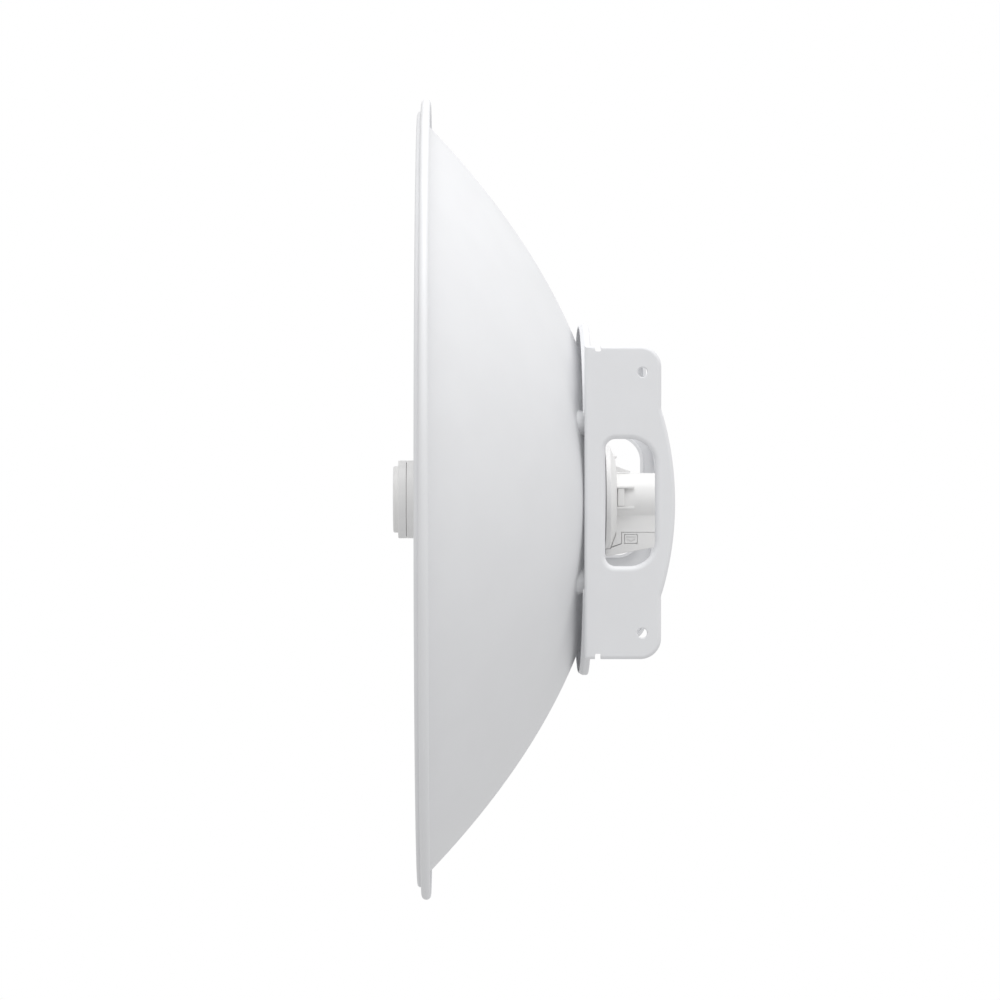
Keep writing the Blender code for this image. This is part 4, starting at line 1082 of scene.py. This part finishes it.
def make_collar():
    """The clamp collar: a thin rim, a long cone, a flat shoulder, two ribs and a pip on top."""
    front = collar_low.y
    radius = collar_high.x
    edge_front = front - COLLAR_EDGE_PROUD
    pocket = front + COLLAR_POCKET
    wall_front = COLLAR_REAR_Y - COLLAR_WALL
    spigot_bore, sleeve_bore = FEED_SPIGOT_RADIUS + COLLAR_SPARE, FEED_SLEEVE_RADIUS + COLLAR_SPARE
    corners = [
        (spigot_bore, pocket, 0.2),
        (COLLAR_LAND_RADIUS, pocket, 0.2),
        (COLLAR_LAND_RADIUS, front, 0.2),
        (radius - COLLAR_EDGE_WIDTH, front, 0.2),
        (radius - COLLAR_EDGE_WIDTH, edge_front, 0.2),
        (radius, edge_front, 0.6),
        (radius, front + COLLAR_RIM, 1.0),
        (COLLAR_SHOULDER_RADIUS, COLLAR_SHOULDER_Y, 1.6),
        (COLLAR_SHOULDER_RADIUS - COLLAR_SHOULDER_WIDTH, COLLAR_REAR_Y, 2.0),
        (sleeve_bore, COLLAR_REAR_Y, 0.3),
        (sleeve_bore, wall_front, 0.3),
        (spigot_bore, wall_front, 0.3),
    ]
    collar = turned("collar", rounded(corners))
    low_z = housing_high.z + 2 * GAP
    rib_front = COLLAR_REAR_Y - COLLAR_WALL / 2
    outline = [(rib_front, low_z), (collar_high.y, low_z), (collar_high.y, low_z + 1.0), (rib_front, RIB_FRONT_TOP)]
    outline = filleted(outline, (0, 0.3, 0.4, 0))
    ribs = []
    for x in (-RIB_SPACING / 2, RIB_SPACING / 2):
        ribs.append(slab("rib", outline, "X", x - RIB_HALF_THICKNESS, x + RIB_HALF_THICKNESS, 0.4, 0.4))
    steps = 8
    knob = [(0, COLLAR_SHOULDER_Y - PAST), (PIP_RADIUS, COLLAR_SHOULDER_Y - PAST)]
    for i in range(steps + 1):
        turn = math.pi / 2 * i / steps
        knob.append((PIP_RADIUS * math.cos(turn), COLLAR_SHOULDER_Y + PIP_RADIUS * math.sin(turn)))
    knob[-1] = (0, knob[-1][1])
    pip = turned("pip", knob, 32)
    pip.location.z = PIP_Z * MM
    collar = join(collar, *ribs, baked(pip))
    placed(smoothed(collar, 35), "clamp_collar", "white_plastic", "mount", "rear_collar")


# ---------------------------------------------------------------- housing and door

HOUSING_RADIUS = housing_high.z
HOUSING_WALL = 2.0
HOUSING_FRONT_Y = housing_low.y
HOUSING_REAR_Y = door_high.y
BOX_HALF_WIDTH = door_high.x
SEAM_Z = -26.0
CREASE_Z = -12.5
BOX_SHOULDER_Z = -18.0
BOX_DRAFT = 0.5
DOOR_STEP_Y = -11.8
DOOR_STEP_Z = -35.6
DOOR_TOE_Y = -24.4
DOOR_TOE_TOP_Z = -40.0
DOOR_REAR_BOTTOM_Z = -36.8
DOOR_WALL = 2.0
CABLE_SLOT_HALF_WIDTH = 5.0
CABLE_SLOT_FRONT_Y = 9.0
CABLE_SLOT_DROP = 3.0
BAR_REAR_Y = -1.5
BAR_THICKNESS = 1.5
BAR_ROOT = 4.0  # how far a bar is set into the housing
MARK_DEPTH = 0.9
MARK_INSET = 1.2
LINE_DROP = 1.9
LINE_HALF_THICKNESS = 0.3
CHEVRON_HALF_WIDTH = 3.5
CHEVRON_RISE = 1.7
CHEVRON_THICKNESS = 1.1


def housing_outline(inset):
    under = math.degrees(math.asin(-CREASE_Z / HOUSING_RADIUS))
    top = arc((0, 0), HOUSING_RADIUS - inset, -under, 180 + under, 64)
    right = [(BOX_HALF_WIDTH - inset, SEAM_Z), (BOX_HALF_WIDTH - BOX_DRAFT - inset, BOX_SHOULDER_Z)]
    return right + top + mirrored(right)


def collar_room(name):
    """A cutter that leaves the clamp collar its clearance."""
    front_y, radius = collar_low.y - PAST, collar_high.x + GAP
    profile = [
        (0, front_y),
        (radius, front_y),
        (radius, collar_low.y + COLLAR_RIM + GAP),
        (COLLAR_SHOULDER_RADIUS + GAP, COLLAR_SHOULDER_Y + GAP),
        (COLLAR_SHOULDER_RADIUS - COLLAR_SHOULDER_WIDTH, COLLAR_REAR_Y + GAP),
        (0, COLLAR_REAR_Y + GAP),
    ]
    return turned(name, profile)


def make_housing():
    """The rear housing: a half-round top on a wider box that is open below."""
    front, rear = HOUSING_FRONT_Y, HOUSING_REAR_Y
    shell = slab("housing", housing_outline(0), "Y", front, rear, 0.3, 1.6)
    slope = (DOOR_STEP_Z - DOOR_TOE_TOP_Z) / (DOOR_STEP_Y - DOOR_TOE_Y)
    toe_y, toe_z = DOOR_TOE_Y + GAP, DOOR_TOE_TOP_Z + 2 * GAP
    outline = [
        (toe_y, toe_z),
        (DOOR_STEP_Y, toe_z + slope * (DOOR_STEP_Y - toe_y)),
        (DOOR_STEP_Y, SEAM_Z + 1),
        (toe_y, SEAM_Z + 1),
    ]
    skirt = cut(slab("skirt", outline, "X", -BOX_HALF_WIDTH, BOX_HALF_WIDTH), collar_room("skirt_room"))
    outer, root = latch_high.x, HOUSING_RADIUS - BAR_ROOT
    wedge = [
        (root, front),
        (outer, front),
        (outer, latch_high.y + 1.5),
        (HOUSING_RADIUS + 0.1, BAR_REAR_Y),
        (root, BAR_REAR_Y),
    ]
    bars = []
    for outline in (mirrored(wedge), wedge):
        for z in (latch_high.z + GAP, latch_low.z - GAP - BAR_THICKNESS):
            bars.append(slab("bar", outline, "Z", z, z + BAR_THICKNESS))
    shell = join(shell, skirt, *bars)
    inside = housing_outline(HOUSING_WALL)
    mouth_z = door_low.z - PAST
    inside = [(inside[0][0], mouth_z)] + inside + [(inside[-1][0], mouth_z)]
    inside_front = DOOR_STEP_Y - HOUSING_WALL / 2
    hollow = slab("hollow", inside, "Y", inside_front, rear - HOUSING_WALL)
    bore = bar("bore", (0, 0), "Y", front - PAST, inside_front + 1, FEED_SLEEVE_RADIUS + GAP, FEED_TURNS)
    slot_low = (window_low.x - GAP, rear - PAST, window_low.z - GAP)
    slot = block("slot", slot_low, (window_high.x + GAP, rear + PAST, window_high.z + GAP))
    shell = smoothed(softened(cut(shell, hollow, bore, slot), 0.15, 40), 35)
    placed(shell, "rear_cover", "white_plastic", "mount", "rear_housing")


def make_latches():
    """Spring tabs beside the housing."""
    inner, outer = latch_low.x, latch_high.x
    front, rear = latch_low.y, latch_high.y
    wedge = [(inner, front), (outer - 0.5, front), (outer, front + 1.2), (outer, rear - 0.6)]
    wedge += [(outer - 0.5, rear), (inner, rear)]
    for side, outline in (("left", mirrored(wedge)), ("right", wedge)):
        tab = slab("tab", outline, "Z", latch_low.z, latch_high.z, 0.3, 0.3)
        placed(smoothed(tab, 35), f"{side}_latch_tab", "white_plastic", f"{side}_latch", f"{side}_latch")


def make_door():
    """The sliding door: a trough with a thumb pad in each side and a slot for the cable."""
    top = door_high.z
    rear = HOUSING_REAR_Y
    step = DOOR_STEP_Y + GAP
    bottom = door_low.z
    half = BOX_HALF_WIDTH
    outline = [(DOOR_TOE_Y, bottom), (rear, DOOR_REAR_BOTTOM_Z), (rear, top), (step, top), (step, DOOR_STEP_Z)]
    outline = filleted(outline + [(DOOR_TOE_Y, DOOR_TOE_TOP_Z)], (1.6, 1.6, 0.3, 0.3, 0.5, 0.6))
    door = cut(slab("door", outline, "X", -half, half, 0.5, 0.5), collar_room("toe_room"))
    wall = DOOR_WALL
    slope = (DOOR_REAR_BOTTOM_Z - bottom) / (rear - DOOR_TOE_Y)
    inside_front, inside_rear = step + wall, rear - wall
    hollow = [
        (inside_front, bottom + slope * (inside_front - DOOR_TOE_Y) + wall),
        (inside_rear, DOOR_REAR_BOTTOM_Z - slope * wall + wall),
        (inside_rear, top + PAST),
        (inside_front, top + PAST),
    ]
    inner = half - wall
    cable_low = (-CABLE_SLOT_HALF_WIDTH, CABLE_SLOT_FRONT_Y, bottom - PAST)
    cable_high = (CABLE_SLOT_HALF_WIDTH, rear + PAST, top - CABLE_SLOT_DROP)
    cutters = [slab("hollow", hollow, "X", -inner, inner), block("cable", cable_low, cable_high)]
    front, back = button_low.y, button_high.y
    low_z, high_z = button_low.z, button_high.z
    for sign in (-1, 1):
        low_x, high_x = sorted((sign * (inner - PAST), sign * (half + PAST)))
        cutters.append(block("window", (low_x, front - GAP, low_z - GAP), (high_x, back + GAP, high_z + GAP)))
    door = smoothed(softened(cut(door, *cutters), 0.12, 40), 35)
    placed(door, "sliding_door", "white_plastic", "port_door", "port_door")


def make_door_buttons():
    """Thumb pads, each marked with a line and a chevron that points the way the door slides."""
    front, rear = button_low.y, button_high.y
    low_z, high_z = button_low.z, button_high.z
    middle = (front + rear) / 2
    outline = [(front, low_z), (rear, low_z), (rear, high_z), (front, high_z)]
    line_front, line_rear = front + MARK_INSET, rear - MARK_INSET
    line_low, line_high = high_z - LINE_DROP - LINE_HALF_THICKNESS, high_z - LINE_DROP + LINE_HALF_THICKNESS
    line = [(line_front, line_low), (line_rear, line_low), (line_rear, line_high), (line_front, line_high)]
    tip_z = low_z + MARK_INSET
    end_z = tip_z + CHEVRON_RISE
    chevron = [
        (middle, tip_z),
        (middle + CHEVRON_HALF_WIDTH, end_z),
        (middle + CHEVRON_HALF_WIDTH, end_z + CHEVRON_THICKNESS),
        (middle, tip_z + CHEVRON_THICKNESS),
        (middle - CHEVRON_HALF_WIDTH, end_z + CHEVRON_THICKNESS),
        (middle - CHEVRON_HALF_WIDTH, end_z),
    ]
    for side, sign in (("left", -1), ("right", 1)):
        body = f"{side}_door_button"
        inner_x, outer_x = sign * button_low.x, sign * button_high.x
        pad = slab("pad", filleted(outline, (1.0, 1.0, 1.0, 1.0)), "X", inner_x, outer_x, 0, 0.4)
        low_x, high_x = sign * (button_high.x - MARK_DEPTH), sign * (button_high.x + PAST)
        marks = [slab("mark", shape, "X", low_x, high_x) for shape in (line, chevron)]
        pad = smoothed(cut(pad, *marks), 35)
        placed(pad, f"{side}_thumb_pad", "white_plastic", body, body)


# ---------------------------------------------------------------- Ethernet jack

JACK_WALL = 1.2
JACK_DEPTH = 12.0
CONTACT_COUNT = 8
CONTACT_PITCH = 1.02
CONTACT_HALF_WIDTH = 0.2


def contacts_tree():
    """A row of sprung contacts, spaced along X about the middle."""
    kinds = {"Pitch": "NodeSocketFloat", "Count": "NodeSocketInt", "Paint": "NodeSocketMaterial"}
    group, tree, given = geometry_tree("contact_row", kinds)
    last = tree.math("SUBTRACT", given["Count"], 1.0)
    first_x = tree.math("MULTIPLY", tree.math("MULTIPLY", last, given["Pitch"]), -0.5)
    first = tree.add("ShaderNodeCombineXYZ", {"X": first_x}).outputs[0]
    step = tree.add("ShaderNodeCombineXYZ", {"X": given["Pitch"]}).outputs[0]
    row = tree.add(
        "GeometryNodeMeshLine", {"Count": given["Count"], "Start Location": first, "Offset": step}, mode="OFFSET"
    ).outputs[0]
    copies = tree.add("GeometryNodeInstanceOnPoints", {"Points": row, "Instance": given["Geometry"]}).outputs[0]
    end_tree(tree, copies, given["Paint"])
    return group


def make_jack():
    """The screened Ethernet jack, which opens downwards, and its eight contacts."""
    low, high = jack_low, jack_high
    shell = block("jack", tuple(low), tuple(high), 0.3)
    hollow_low = (low.x + JACK_WALL, low.y + JACK_WALL, low.z - PAST)
    hollow = block("hollow", hollow_low, (high.x - JACK_WALL, high.y - JACK_WALL, low.z + JACK_DEPTH))
    shell = smoothed(cut(shell, hollow), 35)
    placed(shell, "jack_shell", "zinc_steel", "mount", "ethernet_jack")
    bottom, top = low.z + 2.0, low.z + 11.0
    y = low.y + JACK_WALL + 0.3
    wire = [(y + 0.4, top), (y + 0.4, top - 2.6), (y + 3.5, bottom + 1.2)]
    wire += [(y + 3.2, bottom + 1), (y, top - 3), (y, top)]
    contact = slab("contact", wire, "X", -CONTACT_HALF_WIDTH, CONTACT_HALF_WIDTH)
    values = {"Pitch": CONTACT_PITCH * MM, "Count": CONTACT_COUNT, "Paint": GOLD}
    row = smoothed(with_tree(contact, contacts_tree(), values), 30)
    placed(row, "jack_contacts", "zinc_steel", "mount", material=GOLD)


# ---------------------------------------------------------------- studio

FLOOR_HALF_SIZE = 6000.0
FLOOR_Z = -1600.0
FLOOR_GLOW = 0.22
SKY_ABOVE = 0.90
SKY_BELOW = 0.72
SKY_FRONT = 0.82
SKY_REAR = 0.98

# Metres from here on, as lights and the camera take them.
LIGHT_TARGET = (0, -0.1, 0)
LIGHTS = (  # name, place, size across, power in watts
    ("overhead", (0.6, 0.2, 2.6), 2.4, 42),
    ("side_fill", (3.2, -0.9, 0.7), 1.6, 6),
)
CAMERA_PLACE = (3.064, -0.1436, 0.065)
CAMERA_TARGET = (0, -0.1095, -0.0005)
CAMERA_LENS = 136.06


def make_floor():
    """A plain pale floor, well below the dish."""
    shape = bmesh.new()
    bmesh.ops.create_grid(shape, x_segments=1, y_segments=1, size=FLOOR_HALF_SIZE)
    bmesh.ops.translate(shape, vec=(0, 0, FLOOR_Z), verts=shape.verts)
    floor = new_object("floor", shape)
    material, tree, shader, place = new_material("floor_paint", (0.90, 0.90, 0.90), 0.8)
    shade = noise(tree, place, 900.0, 2.0)
    tree.feed(shader.inputs["Roughness"], tree.blend(0.3, 0.7, shade, 0.78, 0.82))
    shader.inputs["Emission Color"].default_value = (1, 1, 1, 1)
    shader.inputs["Emission Strength"].default_value = FLOOR_GLOW
    floor.data.materials.append(material)
    floor.visible_diffuse = False
    floor.visible_glossy = False


def make_world():
    """White to the eye, and a soft sky for lighting that is brighter above than below."""
    world = bpy.data.worlds.new("studio")
    bpy.context.scene.world = world
    world.use_nodes = True
    tree = Tree(world.node_tree)
    sky = world.node_tree.nodes["Background"]
    way = tree.add("ShaderNodeTexCoord").outputs["Generated"]
    split = tree.add("ShaderNodeSeparateXYZ", {"Vector": way}).outputs
    upward = tree.blend(-1.0, 1.0, split["Z"], SKY_BELOW, SKY_ABOVE, smooth=False)
    rearward = tree.blend(-1.0, 1.0, split["Y"], SKY_FRONT, SKY_REAR, smooth=False)
    tree.feed(sky.inputs["Strength"], tree.math("MULTIPLY", upward, rearward))
    sky.inputs["Color"].default_value = (1, 1, 1, 1)
    plain = tree.add("ShaderNodeBackground", {"Color": (1, 1, 1, 1), "Strength": 1.0})
    seen = tree.add("ShaderNodeLightPath").outputs["Is Camera Ray"]
    mix = tree.add("ShaderNodeMixShader", {"Fac": seen})
    tree.feed(mix.inputs[1], sky.outputs[0])
    tree.feed(mix.inputs[2], plain.outputs[0])
    tree.feed(world.node_tree.nodes["World Output"].inputs["Surface"], mix.outputs[0])


def aimed(thing, place, target):
    thing.location = place
    thing.rotation_euler = (Vector(target) - Vector(place)).to_track_quat("-Z", "Y").to_euler()


def make_light(name, place, size, power):
    data = bpy.data.lights.new(name, "AREA")
    data.shape = "DISK"
    data.size = size
    data.energy = power
    light = bpy.data.objects.new(name, data)
    aimed(light, place, LIGHT_TARGET)
    bpy.context.scene.collection.objects.link(light)


def make_camera():
    data = bpy.data.cameras.new("camera")
    data.lens = CAMERA_LENS
    data.sensor_width = 36.0
    data.clip_end = 100
    camera = bpy.data.objects.new("camera", data)
    aimed(camera, CAMERA_PLACE, CAMERA_TARGET)
    bpy.context.scene.collection.objects.link(camera)
    bpy.context.scene.camera = camera


def main():
    make_dish()
    make_ring()
    make_ear("left", -1)
    make_ear("right", 1)
    make_bolts()
    make_nuts()
    make_feed_tube()
    make_nose_cap()
    make_collar()
    make_housing()
    make_latches()
    make_door()
    make_door_buttons()
    make_jack()
    finish_cad_nodes()
    make_floor()
    make_world()
    for light in LIGHTS:
        make_light(*light)
    make_camera()
    bpy.context.scene.view_settings.view_transform = "Standard"


main()
